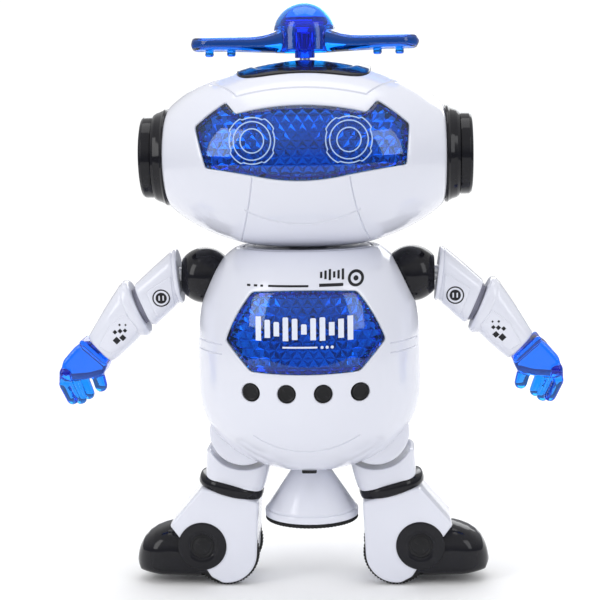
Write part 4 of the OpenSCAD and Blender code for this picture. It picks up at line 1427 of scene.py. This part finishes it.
doorLines = [(resample(np.array([[-doorShape["lineHalf"], z], [doorShape["lineHalf"], z]]), 0.6, False), False)
             for z in doorShape["lineHeights"]]
rearPatch(torsoStar, offsetLoop(doorOutline, -doorShape["gap"]), 0.0, doorShape["edge"], doorShape["spacing"],
          doorShape["thick"], "batteryDoor", "whiteShell", "battery_door", ["battery_door"],
          [ringLoop(*doorShape["screw"], (), 12)], doorLines)


# lofted pieces


def loftBody(name, stations, paint, body, replaced=(), segments=72, endRound=0.8, sharp=38):
    # stations: centre, direction of travel, half across, half deep, power; the ends are rolled over
    rings = []
    count = len(stations)
    for k, (centre, along, halfA, halfB, power) in enumerate(stations):
        along = np.array(along, float)
        along /= np.linalg.norm(along)
        across = np.array([-along[2], 0, along[0]])
        deep = np.array([0, 1.0, 0])
        if k in (0, count - 1):
            way = 1 if k == 0 else -1
            # t = 0 is the flat end, t = 90 degrees the full width
            made = [superRing(np.array(centre) + along * way * endRound * (1 - math.cos(t)), across, deep,
                              halfA - endRound * (1 - math.sin(t)), halfB - endRound * (1 - math.sin(t)), power,
                              segments)
                    for t in np.linspace(0, math.pi / 2, 5)]
            rings += made if k == 0 else made[::-1]
        else:
            rings.append(superRing(centre, across, deep, halfA, halfB, power, segments))
    verts, faces = loftRings(rings)
    obj = addPiece(name, verts, faces, paint, body, replaced, sharp)
    closeWell(obj)
    return obj


armShape = {
    "collar": (48.9, 118.5), "collarLean": 6.5, "elbow": (65.4, 106.6), "wrist": (81.1, 90.0),
    "elbowTilt": 23.5, "wristTilt": 43.0,
    # sections: place along the limb, half across, half deep, squareness
    "disc": ((0, 10.4, 10.4, 2.0), (0.8, 10.4, 10.4, 2.0), (1.7, 10.1, 10.1, 2.05)),
    "upperNear": (10.0, 9.0, 2.5), "upperFar": (8.8, 8.6, 3.4),
    "lip": ((0, 11.2, 9.5, 2.7), (1.8, 11.4, 9.6, 2.7), (4.6, 10.6, 9.3, 2.7)),
    "foreNear": (10.2, 8.9, 3.0), "foreFar": (6.9, 6.6, 3.0),
    "insert": [(0, -4.2), (6.8, -4.2), (7.6, -3.6), (7.6, -2.0), (7.3, -1.6), (7.2, -0.9), (0, -0.9)],
}


def buildArm(side, word):
    s = armShape
    low = word.lower()
    eDir = np.array([math.cos(math.radians(s["elbowTilt"])), 0, -math.sin(math.radians(s["elbowTilt"]))])
    wDir = np.array([math.cos(math.radians(s["wristTilt"])), 0, -math.sin(math.radians(s["wristTilt"]))])
    collar = np.array([s["collar"][0], 0, s["collar"][1]])
    elbow = np.array([s["elbow"][0], 0, s["elbow"][1]])
    wrist = np.array([s["wrist"][0], 0, s["wrist"][1]])
    flip = np.array([side, 1, 1])

    def stations(start, along, sections):
        return [((start + along * far) * flip, along * flip, *sizes) for far, *sizes in sections]

    def straightLoft(name, first, last, body, bulge=0.0, steps=12, endRound=1.0):
        # sections blend evenly from one end to the other, with rolled ends
        def section(spec, inset, slide):
            centre, along, halfA, halfB, power = spec
            across = np.array([-along[2], 0, along[0]])
            return superRing(centre + along * slide, across, (0, 1.0, 0), halfA - inset, halfB - inset, power, 96)

        rings = []
        turns = np.linspace(0, math.pi / 2, 5)
        for t in turns:
            rings.append(section(first, endRound * (1 - math.sin(t)), endRound * (1 - math.cos(t))))
        full, stop = rings[-1], section(last, 0, -endRound)
        for t in np.linspace(0, 1, steps)[1:-1]:
            swell = 1 + bulge * math.sin(math.pi * t)
            ring = mixed(full, stop, t)
            rings.append(ring.mean(axis=0) + (ring - ring.mean(axis=0)) * swell)
        for t in turns[::-1]:
            rings.append(section(last, endRound * (1 - math.sin(t)), -endRound * (1 - math.cos(t))))
        verts, faces = loftRings([ring * flip for ring in rings])
        obj = addPiece(name, verts, faces, "whiteShell", body)
        closeWell(obj)
        return obj

    # thin leaning collar disc at the shoulder, then the arm body
    lean = math.radians(s["collarLean"])
    cDir = np.array([math.cos(lean), 0, -math.sin(lean)])
    disc = loftBody("upperArm" + word, stations(collar, cDir, s["disc"]), "whiteShell", "arm_" + low,
                    ["upper_arm_" + low], 96, 0.6)
    near = (collar + cDir * 1.2 - np.array([0, 0, 0.3]), cDir, *s["upperNear"])
    far = (elbow - eDir * 2.8, eDir, *s["upperFar"])
    arm = straightLoft("armBody" + word, near, far, "arm_" + low, 0.015, 12, 1.0)
    joinPieces([disc, arm], "upperArm" + word)

    # forearm: wide lip at the elbow, then a tapering body
    start = elbow - eDir * 0.7
    lip = loftBody("forearm" + word, stations(start, eDir, s["lip"]), "whiteShell", "forearm_" + low,
                   ["forearm_" + low], 96, 1.3)
    near, far = (start + eDir * 3.0, eDir, *s["foreNear"]), (wrist - wDir * 1.0, wDir, *s["foreFar"])
    fore = straightLoft("foreBody" + word, near, far, "forearm_" + low, 0.03, 14, 1.1)
    joinPieces([lip, fore], "forearm" + word)

    # insert in the elbow gap, coloured as white plastic in shadow: painted shade
    turned("elbowPin" + word, roundPath(s["insert"], 0.2), 72, tuple(elbow * flip), tuple(eDir * flip), "shadowGreyInsert",
           "arm_" + low, ["elbow_pin_" + low])


for side, word in ((1, "Right"), (-1, "Left")):
    buildArm(side, word)
print("arms ready")


# hands, rotor: soft unions


def blobUnion(name, parts, voxel, smooth, paint, body, replaced, sharp=60):
    # overlapping closed parts become one skin
    verts, faces = [], []
    for partVerts, partFaces in parts:
        base = len(verts)
        verts.extend(partVerts)
        faces.extend(tuple(i + base for i in f) for f in partFaces)
    obj = addPiece(name, verts, faces, paint, body, replaced, sharp)
    closeWell(obj)
    remesh = obj.modifiers.new("oneSkin", "REMESH")
    remesh.mode = "VOXEL"
    remesh.voxel_size = voxel * mm
    ease = obj.modifiers.new("ease", "SMOOTH")
    ease.factor = 0.5
    ease.iterations = smooth
    return applyAll(obj, sharp)


def capsule(a, b, ra, rb, segments=28, squash=1.0):
    # tapered rod with round ends; squash narrows it front to back
    a, b = np.array(a, float), np.array(b, float)
    along = b - a
    length = np.linalg.norm(along)
    along /= length
    side = np.array([0, 1.0, 0])
    across = np.cross(along, side)
    across /= np.linalg.norm(across)
    rings = []
    for t in np.linspace(-math.pi / 2, 0, 6)[1:]:
        rings.append((a + along * ra * math.sin(t), ra * math.cos(t)))
    for t in np.linspace(0, math.pi / 2, 6)[:-1]:
        rings.append((b + along * rb * math.sin(t), rb * math.cos(t)))
    made = [superRing(c, across, side, r, r * squash, 2.6, segments) for c, r in rings]
    return loftRings(made)


def prismPart(outline, y0, y1, ease=0.8):
    loop = softLoop(outline, 0.7, 2)
    rings = []
    for y, inset in ((y0, ease), (y0 + ease * 0.3, ease * 0.3), (y0 + ease, 0), (y1 - ease, 0),
                     (y1 - ease * 0.3, ease * 0.3), (y1, ease)):
        eased = offsetLoop(loop, -inset)
        rings.append(np.column_stack([eased[:, 0], np.full(len(eased), y), eased[:, 1]]))
    return loftRings(rings)


handShape = {
    # outlines seen from the front, measured from the wrist
    "palm": [(4.6, 4.6), (8.6, 2.0), (13.2, -3.2), (14.6, -8.4), (12.4, -11.2), (4.0, -10.6), (-2.2, -8.8),
             (-4.4, -4.0)],
    "cuff": [(5.4, 5.2), (7.0, 3.6), (-2.8, -5.2), (-4.6, -4.4)],
    "palmDeep": 6.6, "palmRound": 1.4, "cuffDeep": 7.2, "cuffRound": 0.7,
    # fingers and thumb: knuckles, place front to back, radius
    "fingers": [
        (((12.3, -8.0), (12.6, -12.2), (9.9, -18.0)), -4.9, 2.5),
        (((10.2, -8.6), (9.8, -13.0), (7.6, -18.8)), -0.6, 2.4),
        (((8.2, -8.6), (7.2, -13.0), (5.4, -17.8)), 3.9, 2.4),
        (((0.4, -6.6), (0.0, -10.0), (-0.9, -13.4)), -3.4, 2.5),
    ],
    "taper": 0.95, "squash": 0.95, "voxel": 0.38,
}


def buildHand(side, word):
    s = handShape
    low = word.lower()
    wx, wz = armShape["wrist"]

    def spot(x, y, z):
        return (side * (wx + x), y, wz + z)

    def seen(points):
        return np.array([(side * (wx + x), wz + z) for x, z in points])

    parts = [prismPart(seen(s["palm"]), -s["palmDeep"], s["palmDeep"], s["palmRound"]),
             prismPart(seen(s["cuff"]), -s["cuffDeep"], s["cuffDeep"], s["cuffRound"])]
    for path, y, r in s["fingers"]:
        for (x0, z0), (x1, z1) in zip(path, path[1:]):
            parts.append(capsule(spot(x0, y, z0), spot(x1, y, z1), r, r * s["taper"], 28, s["squash"]))
    blobUnion("hand" + word, parts, s["voxel"], 3, "blueLimb", "hand_" + low, ["hand_" + low])


for side, word in ((1, "Right"), (-1, "Left")):
    buildHand(side, word)
print("hands ready")

rotorShape = {
    "low": 202.0, "top": 220.4, "hub": 11.5, "wall": 1.3, "segments": 72,
    "half": 42.7, "deep": 9.0, "root": 8.0, "bladeTop": 208.2, "bladeLow": 202.9, "tipRound": 2.2,
    "pegs": (27.2, 35.4), "pegY": -4.0,
    "peg": [(0, 200.7), (1.5, 200.9), (1.7, 202.0), (1.1, 202.6), (1.1, 204), (0, 204)],
    # inner core and ledge seen through the dome
    "core": [(2.15, 200.0), (3.7, 200.0), (3.7, 211.2), (8.4, 212.0), (8.8, 213.0), (8.4, 214.6), (0, 215.2),
             (0, 209.5), (2.15, 209.5), (2.15, 200.0)],
    "coreRound": [0, 0.3, 0.5, 0.4, 0.4, 0.6, 0, 0, 0, 0],
    "post": [(0, 195.6), (5, 195.6), (5, 197.2), (3.2, 197.4), (3.1, 198.2), (1.9, 198.4), (1.9, 209), (0, 209)],
}


def buildRotor():
    s = rotorShape
    parts = []
    # outer dome, open below
    outer = [(s["hub"], s["low"])]
    centreZ = s["top"] - s["hub"]
    outer += [(s["hub"] * math.cos(t), centreZ + s["hub"] * math.sin(t)) for t in np.linspace(0, math.pi / 2,
                                                                                              24)[:-1]]
    inner = s["hub"] - s["wall"]
    curve = [(inner * math.cos(t), centreZ + inner * math.sin(t)) for t in np.linspace(math.pi / 2, 0, 24)[1:]]
    profile = outer + [(0, s["top"])]
    profile += [(0, s["top"] - s["wall"])] + curve + [(inner, s["low"])]
    count = s["segments"]
    verts, faces = lathe(profile, count, (0, 0, 0), (0, 0, 1))
    last = len(verts) - count
    for k in range(count):
        n = (k + 1) % count
        faces.append((k, last + k, last + n, n))
    parts.append((verts, faces))
    for side in (-1, 1):
        rings = []
        for x in np.linspace(s["root"], s["half"], 40):
            out = x - s["root"]
            top = s["bladeTop"] + 3.0 * max(0, 1 - out / 13.0) ** 2.2
            bottom = s["bladeLow"] - max(0, 1 - out / 22.0)
            fromTip = s["half"] - x
            deep, tall = s["deep"], (top - bottom) / 2
            if fromTip <= deep:
                deep = math.sqrt(max(deep ** 2 - (deep - fromTip) ** 2, 0.05))
            if fromTip <= s["tipRound"]:
                tall *= math.sqrt(max(1 - (1 - fromTip / s["tipRound"]) ** 2, 0.02))
            rings.append(superRing((side * x, 0, (top + bottom) / 2), (0, side, 0), (0, 0, 1), deep, tall, 3.4, 56))
        parts.append(loftRings(rings))
        for x in s["pegs"]:
            parts.append(lathe(roundPath(s["peg"], 0.3), 24, (side * x, s["pegY"], 0), (0, 0, 1)))
    blobUnion("rotor", parts, 0.36, 2, "blueRotor", "rotor", ["rotor"])
    turned("rotorCore", roundPath(s["core"], s["coreRound"]), 64, (0, 0, 0), (0, 0, 1), "blueRotor", "rotor")


buildRotor()
turned("rotorPost", roundPath(rotorShape["post"], 0.2), 48, (0, 0, 0), (0, 0, 1), "brushedSteel", "head",
       ["rotor_post"])
print("rotor ready")

# legs

legShape = {
    # thigh: middle and half width at the ankle and at the top
    "thighLow": (29.35, 11.05), "thighTop": (27.2, 12.6), "thighPower": 4.2,
    "thighDeep": 12.0, "saddle": 15.0, "hip": (25.0, 60.0), "ringTilt": 14.7, "ringLean": 16.4, "ring": (30.9, 37.2),
    "bootDeep": 12.8, "toeDeep": 12.45, "wheel": (32.5, 12.7), "lug": (41.6, 15.7),
    # ankle ring: place along its axis, how far it is drawn in
    "ringHalf": (12.8, 13.4),
    "ringSteps": ((-2.3, 1.6), (-2.15, 0.75), (-1.7, 0.28), (-1.0, 0.05), (-0.3, 0.0),
                  (0.3, 0.0), (1.0, 0.05), (1.7, 0.28), (2.15, 0.75), (2.3, 1.6)),
    # boot and toe seen from the front
    "heelR": 11.7, "toeTip": 68.2,
    "bootFront": [(19.9, 32.5), (41.2, 38.1), (42.0, 37.4), (54.0, 23.7), (50.2, 18.6), (42.0, 9.0), (38.4, 3.4),
                  (35.0, 1.6)],
    "toeUpper": [(40.0, 7.0), (42.05, 9.0), (46, 13.6), (50.25, 18.6), (53.2, 22.0), (54.4, 22.3), (57.5, 21.5),
                 (60.6, 20.3), (63.2, 18.7), (65.3, 16.6), (66.9, 13.6), (67.8, 10.6), (68.2, 7.6)],
    "toeUnder": [(40.0, 3.0), (44, 2.6), (58, 3.0), (66.6, 4.2), (68.2, 7.4)],
    # turned parts as (radius, height), each with its corner rounding
    "lugOutline": [(0, 11.6), (9.3, 11.6), (9.3, 13.3), (6.2, 13.4), (5.3, 13.2), (4.9, 13.0), (4.7, 12.92),
                   (0, 12.92)],
    "lugRound": [0, 0, 0.6, 0.3, 0.2, 0.1, 0, 0],
    "capOutline": [(0, 12.0), (4.5, 12.0), (4.5, 13.1), (3.9, 13.3), (3.55, 13.05), (2.6, 13.55), (1.2, 13.75),
                   (0, 13.8)],
    "capRound": [0, 0, 0.2, 0.1, 0.1, 0.5, 0.5, 0],
    "wheelOutline": [(0, 7.9), (11.8, 7.9), (12.65, 8.4), (12.65, 10.5), (11.8, 11.0), (9.5, 11.0), (9.0, 10.5),
                     (3.5, 10.5), (3.0, 11.2), (0, 11.2)],
    "wheelRound": [0, 0.3, 0.3, 0.3, 0.3, 0.3, 0.3, 0.3, 0.2, 0],
    "axle": [(0, -8.4), (1.5, -8.4), (1.5, 8.4), (0, 8.4)],
    # room cut in the heel: outline and the way it faces
    "wells": [([(0, 7.4), (13.1, 7.4), (13.1, 11.5), (0, 11.5)], 1),
              ([(0, 7.4), (13.1, 7.4), (13.1, 11.5), (0, 11.5)], -1),
              ([(0, -8.0), (1.9, -8.0), (1.9, 8.0), (0, 8.0)], 1)],
}


def buildThigh(side, word):
    s = legShape
    low = word.lower()
    segments = 112
    hipX, hipZ = s["hip"]
    (lowX, lowHalf), (topX, topHalf) = s["thighLow"], s["thighTop"]
    tilt = math.tan(math.radians(s["ringTilt"]))

    def saddleTop(x):
        across = np.clip(np.abs(x - hipX), 0, s["saddle"] - 0.02)
        under = hipZ - np.sqrt(s["saddle"] ** 2 - across ** 2)
        return np.minimum(under, np.where(x > 36.5, 52.6 - (x - 36.5) * 0.18,
                                          49.6 + np.clip(16.0 - x, 0, 2) * -0.4 + 10 * (x > 17)))

    def bottom(x):
        return 35.9 + (x - 18.3) * tilt

    def plan(size, centreX, halfX):
        return superRing((centreX, 0, 0), (1, 0, 0), (0, 1, 0), halfX * size, s["thighDeep"] * size, s["thighPower"],
                         segments)

    rings = []
    for t, inset in ((0.0, 1.0), (0.0, 0.55), (0.25, 0.18), (0.8, 0.0)):
        ring = plan(1, lowX, lowHalf - inset)
        ring[:, 2] = bottom(ring[:, 0]) + t
        rings.append(ring)
    for t in np.linspace(0.12, 0.92, 7):
        ring = plan(1, mixed(lowX, topX, t), mixed(lowHalf, topHalf, t))
        ring[:, 2] = mixed(bottom(ring[:, 0]), saddleTop(ring[:, 0]), t)
        rings.append(ring)
    for size, drop in ((1.0, 0.35), (0.985, 0.08), (0.965, 0.0), (0.9, 0), (0.8, 0), (0.65, 0), (0.5, 0), (0.3, 0),
                       (0.12, 0)):
        ring = plan(size, topX, topHalf)
        ring[:, 2] = saddleTop(ring[:, 0]) - drop
        rings.append(ring)
    verts, faces = loftRings([ring * np.array([side, 1, 1]) for ring in rings])
    obj = addPiece("thigh" + word, verts, faces, "whiteShell", "leg_" + low, ["thigh_" + low])
    closeWell(obj)


def buildAnkle(side, word):
    s = legShape
    low = word.lower()
    rings = []
    tilt = math.radians(s["ringLean"])
    axis = np.array([-math.sin(tilt), 0, math.cos(tilt)])
    across = np.array([math.cos(tilt), 0, math.sin(tilt)])
    centre = np.array([s["ring"][0], 0, s["ring"][1]])
    halfA, halfB = s["ringHalf"]
    for height, inset in s["ringSteps"]:
        rings.append(superRing(centre + axis * height, across, (0, 1, 0), halfA - inset, halfB - inset, 2.3, 112))
    verts, faces = loftRings([ring * np.array([side, 1, 1]) for ring in rings])
    obj = addPiece("ankleRing" + word, verts, faces, "glossBlack", "leg_" + low, ["ankle_ring_" + low], 45)
    closeWell(obj)


def bootOutline():
    x, z = legShape["wheel"]
    r = legShape["heelR"]
    heel = [(x + r * math.cos(math.radians(d)), z + r * math.sin(math.radians(d))) for d in range(280, 179, -6)]
    return legShape["bootFront"] + heel


def carveWells(obj, side):
    # room in the heel for the wheels and their axle
    x, z = legShape["wheel"]
    spot = (side * x, 0, z)
    for path, face in legShape["wells"]:
        cutter = turned("wellCutter", path, 96, spot, (0, face, 0), "whiteShell", "torso")
        cut = obj.modifiers.new("well", "BOOLEAN")
        cut.operation = "DIFFERENCE"
        cut.solver = "EXACT"
        cut.object = cutter
        applyAll(obj)
        bpy.data.objects.remove(cutter)


def buildBoot(side, word):
    s = legShape
    low = word.lower()
    leg = "leg_" + low
    deep = s["bootDeep"]
    boot = prism("bootShell" + word, bootOutline(), -deep, deep, "whiteShell", leg, ["boot_shells_" + low], side, 1.5,
                 4)
    carveWells(boot, side)

    # toe cap: sections along the foot
    toeTip = s["toeTip"]
    stationsX = np.concatenate([np.linspace(40.0, 60.0, 24), np.linspace(60.0, toeTip - 0.15, 18)[1:]])
    upper, under = np.array(s["toeUpper"]), np.array(s["toeUnder"])
    rings = []
    for x in stationsX:
        top, bottom = np.interp(x, upper[:, 0], upper[:, 1]), np.interp(x, under[:, 0], under[:, 1])
        if x < 54.2:
            top = np.interp(x, [40, 54.2], [20.6, 22.2])
        fromTip = toeTip - x
        reach = s["toeDeep"]
        halfDeep = reach if fromTip > reach else math.sqrt(max(reach ** 2 - (reach - fromTip) ** 2, 0.3))
        middle = mixed(bottom, top, 0.42)
        rounded = superRing((x, 0, middle), (0, 1, 0), (0, 0, 1), halfDeep, max(top - middle, 0.2), 2.5, 88)
        flat = superRing((x, 0, middle), (0, 1, 0), (0, 0, 1), halfDeep, max(middle - bottom, 0.2), 4.5, 88)
        rings.append(np.where(rounded[:, 2:3] > middle, rounded, flat))
    verts, faces = loftRings([ring * np.array([side, 1, 1]) for ring in rings])
    toe = addPiece("toeCap" + word, verts, faces, "glossBlack", leg, ["toe_cap_" + low])
    closeWell(toe)
    carveWells(toe, side)

    lugX, lugZ = s["lug"]
    lugPath, capPath = roundPath(s["lugOutline"], s["lugRound"]), roundPath(s["capOutline"], s["capRound"])
    lugs, caps = [], []
    for face in (-1, 1):
        lugs.append(turned("toeLug", lugPath, 88, (side * lugX, 0, lugZ), (0, face, 0), "glossBlack", leg))
        caps.append(turned("bootCap", capPath, 64, (side * lugX, 0, lugZ), (0, face, 0), "satinBlack", leg,
                           ["boot_caps_" + low] if face < 0 else []))
    joinPieces([toe] + lugs, "toeCap" + word)
    joinPieces(caps, "bootCaps" + word)


def wheelRibs(k, radius, height):
    return 0.32 if k % 4 in (0, 1) and radius > 12.2 else 0.0


def buildWheels(side, word):
    s = legShape
    low = word.lower()
    spot = (side * s["wheel"][0], 0, s["wheel"][1])
    wheels = []
    for face in (-1, 1):
        wheels.append(turned("wheel", roundPath(s["wheelOutline"], s["wheelRound"]), 240, spot, (0, face, 0),
                             "tyreRubber", "wheels_" + low, ["boot_wheels_" + low] if face < 0 else [], wheelRibs,
                             50))
    axle = turned("axle", roundPath(s["axle"], 0.1), 24, spot, (0, 1, 0), "tyreRubber", "wheels_" + low)
    joinPieces(wheels + [axle], "bootWheels" + word)


for side, word in ((1, "Right"), (-1, "Left")):
    buildThigh(side, word)
    buildAnkle(side, word)
    buildBoot(side, word)
    buildWheels(side, word)
print("legs ready")


# printed marks and raised panels on finished pieces
def castPatch(target, outline, holes, lift, edgeRound, spacing, thick, name, paint, body, side=-1):
    # a patch laid on the front (or back) of a finished piece
    graph = bpy.context.evaluated_depsgraph_get()
    trees = [BVHTree.FromObject(one, graph) for one in target]
    points, edges = [], []
    loops = [outline] + list(holes)
    if edgeRound > 0:
        loops = [outline, offsetLoop(outline, -edgeRound * 0.45), offsetLoop(outline, -edgeRound)] + list(holes)
    for loop in loops:
        start = len(points)
        points.extend(loop.tolist())
        edges.extend((start + k, start + (k + 1) % len(loop)) for k in range(len(loop)))
    border = KDTree(len(points))
    for k, p in enumerate(points):
        border.insert((p[0], p[1], 0), k)
    border.balance()
    low, high = outline.min(0), outline.max(0)
    for x in np.arange(low[0], high[0], spacing):
        for z in np.arange(low[1], high[1], spacing):
            if border.find((x, z, 0))[2] > spacing * 0.55:
                points.append([x, z])
    flat, tri = triangulate(points, edges)
    middle = flat[tri].mean(axis=1)
    good = insideLoop(middle, outline)
    for hole in holes:
        good &= ~insideLoop(middle, hole)
    tri = tri[good]
    if side > 0:
        tri = tri[:, ::-1]
    used = np.unique(tri)
    renumber = np.zeros(len(flat), int)
    renumber[used] = np.arange(len(used))
    flat = flat[used]
    dip = easedEdge(np.clip(-signedGap(flat, outline, 50.0), 0, 100),
                    edgeRound) if edgeRound > 0 else np.zeros(len(flat))
    verts, landed = [], []
    for (x, z), drop in zip(flat, dip):
        hits = [tree.ray_cast(Vector((x, side * 80, z)) * mm, Vector((0, -side, 0))) for tree in trees]
        hits = [hit for hit in hits if hit[0] is not None]
        landed.append(bool(hits))
        if hits:
            place, normal, _, _ = min(hits, key=lambda hit: hit[3])
            verts.append(np.array(place) / mm + np.array(normal) * (lift - drop))
        else:
            verts.append(np.array([x, 0, z]))
    faces = renumber[tri]
    faces = faces[np.array(landed)[faces].all(axis=1)]
    patch = addPiece(name, verts, faces, paint, body)
    return addSolidify(patch, thick)


def blockLoop(x, z, wide, tall, turn=0.0):
    c, s = math.cos(math.radians(turn)), math.sin(math.radians(turn))
    corners = [(-wide / 2, -tall / 2), (wide / 2, -tall / 2), (wide / 2, tall / 2), (-wide / 2, tall / 2)]
    return resample([(x + a * c - b * s, z + a * s + b * c) for a, b in corners], max(0.3, min(wide, tall) / 3), True)


def markSet(target, marks, name, paint, body, lift=0.05):
    made = [castPatch(target, outline, holes, lift, 0, 1.2, 0.07, name, paint, body) for outline, holes in marks]
    return joinPieces(made, name)


chestMarks = {
    # x, z, wide, tall of each dash, then of the small bar pattern beside them
    "dashes": [(-20.2, 118.2, 1.3, 0.75), (-17.6, 118.2, 1.3, 0.75), (-15.3, 118.2, 1.0, 0.75),
               (-5.6, 118.2, 14.6, 0.75)],
    "bars": [(6.2 + 1.55 * k, 121.9, 0.85, 2.1 + 0.8 * (k % 3)) for k in range(6)] + [(9.8, 118.4, 8.6, 1.1)],
    "ring": (18.6, 120.3, 2.9, 1.9),
    "dot": 0.9,
}


def buildChestMarks():
    target = [bpy.data.objects["torsoFrontShell"]]
    marks = [(blockLoop(*spec), []) for spec in chestMarks["dashes"] + chestMarks["bars"]]
    x, z, outer, inner = chestMarks["ring"]
    marks.append((ringLoop(x, z, outer, (), 10), [ringLoop(x, z, inner, (), 10)]))
    marks.append((ringLoop(x, z, chestMarks["dot"], (), 24), []))
    markSet(target, marks, "chestMarks", "blackInk", "torso")


windowMarks = {"pitch": 3.3, "count": 11, "wide": 2.0, "z": 103.2, "low": 3.4, "more": 5.2, "underZ": 96.7}


def buildWindowMarks():
    w = windowMarks
    marks = []
    for k in range(w["count"]):
        x = (k - (w["count"] - 1) / 2) * w["pitch"]
        tall = w["low"] + w["more"] * abs(math.cos(k * 0.95))
        marks.append((blockLoop(x, w["z"], w["wide"], tall), []))
    marks.append((blockLoop(-1.5, w["underZ"], 12.5, 0.6), []))
    for x in (6.4, 8.2, 10.0):
        marks.append((ringLoop(x, w["underZ"], 0.55, (), 30), []))
    markSet([bpy.data.objects["chestWindow"]], marks, "windowMarks", "whiteInk", "torso")


armMarks = {
    "badge": (55.3, 111.0), "disc": 2.1, "ring": 3.1, "line": 0.5,
    "squares": [(71.5, 100.9, 0.8), (69.2, 100.9, 0.7), (73.4, 98.1, 1.3), (71.4, 98.5, 1.4), (69.5, 98.7, 1.2),
                (70.5, 95.9, 1.9), (72.9, 94.8, 2.2)],
    "squareTurn": 43.0,
    "upperPanel": [(51.6, 119.4), (61.0, 113.4), (57.4, 103.6), (50.6, 107.6)],
    "lowerPanel": [(69.0, 105.4), (75.6, 100.4), (80.2, 92.4), (75.6, 89.6), (66.8, 94.6), (64.6, 99.4)],
}


def buildArmMarks(side, word):
    a = armMarks
    low = word.lower()
    upper, fore = bpy.data.objects["upperArm" + word], bpy.data.objects["forearm" + word]
    flip = np.array([side, 1.0])
    panel = softLoop(np.array(a["upperPanel"]) * flip, 0.4, 4)
    upperPanel = castPatch([upper], panel, [], 0.45, 0.4, 0.9, 0.7, "upperPanel" + word, "whiteShell", "arm_" + low)
    panel = softLoop(np.array(a["lowerPanel"]) * flip, 0.4, 4)
    lowerPanel = castPatch([fore], panel, [], 0.45, 0.4, 0.9, 0.7, "lowerPanel" + word, "whiteShell",
                           "forearm_" + low)
    bx, bz = a["badge"][0] * side, a["badge"][1]
    marks = [(ringLoop(bx, bz, a["disc"], (), 10), [blockLoop(bx - 0.75, bz, 0.55, 1.9),
                                                    blockLoop(bx + 0.75, bz, 0.55, 1.9)]),
             (ringLoop(bx, bz, a["ring"] + a["line"] / 2, (), 10),
              [ringLoop(bx, bz, a["ring"] - a["line"] / 2, (), 10)])]
    markSet([upper, upperPanel], marks, "armBadge" + word, "blackInk", "arm_" + low)
    marks = [(blockLoop(x * side, z, size, size, a["squareTurn"]), []) for x, z, size in a["squares"]]
    markSet([fore, lowerPanel], marks, "armSquares" + word, "blackInk", "forearm_" + low)


buildChestMarks()
buildWindowMarks()
for side, word in ((1, "Right"), (-1, "Left")):
    buildArmMarks(side, word)
print("marks ready")
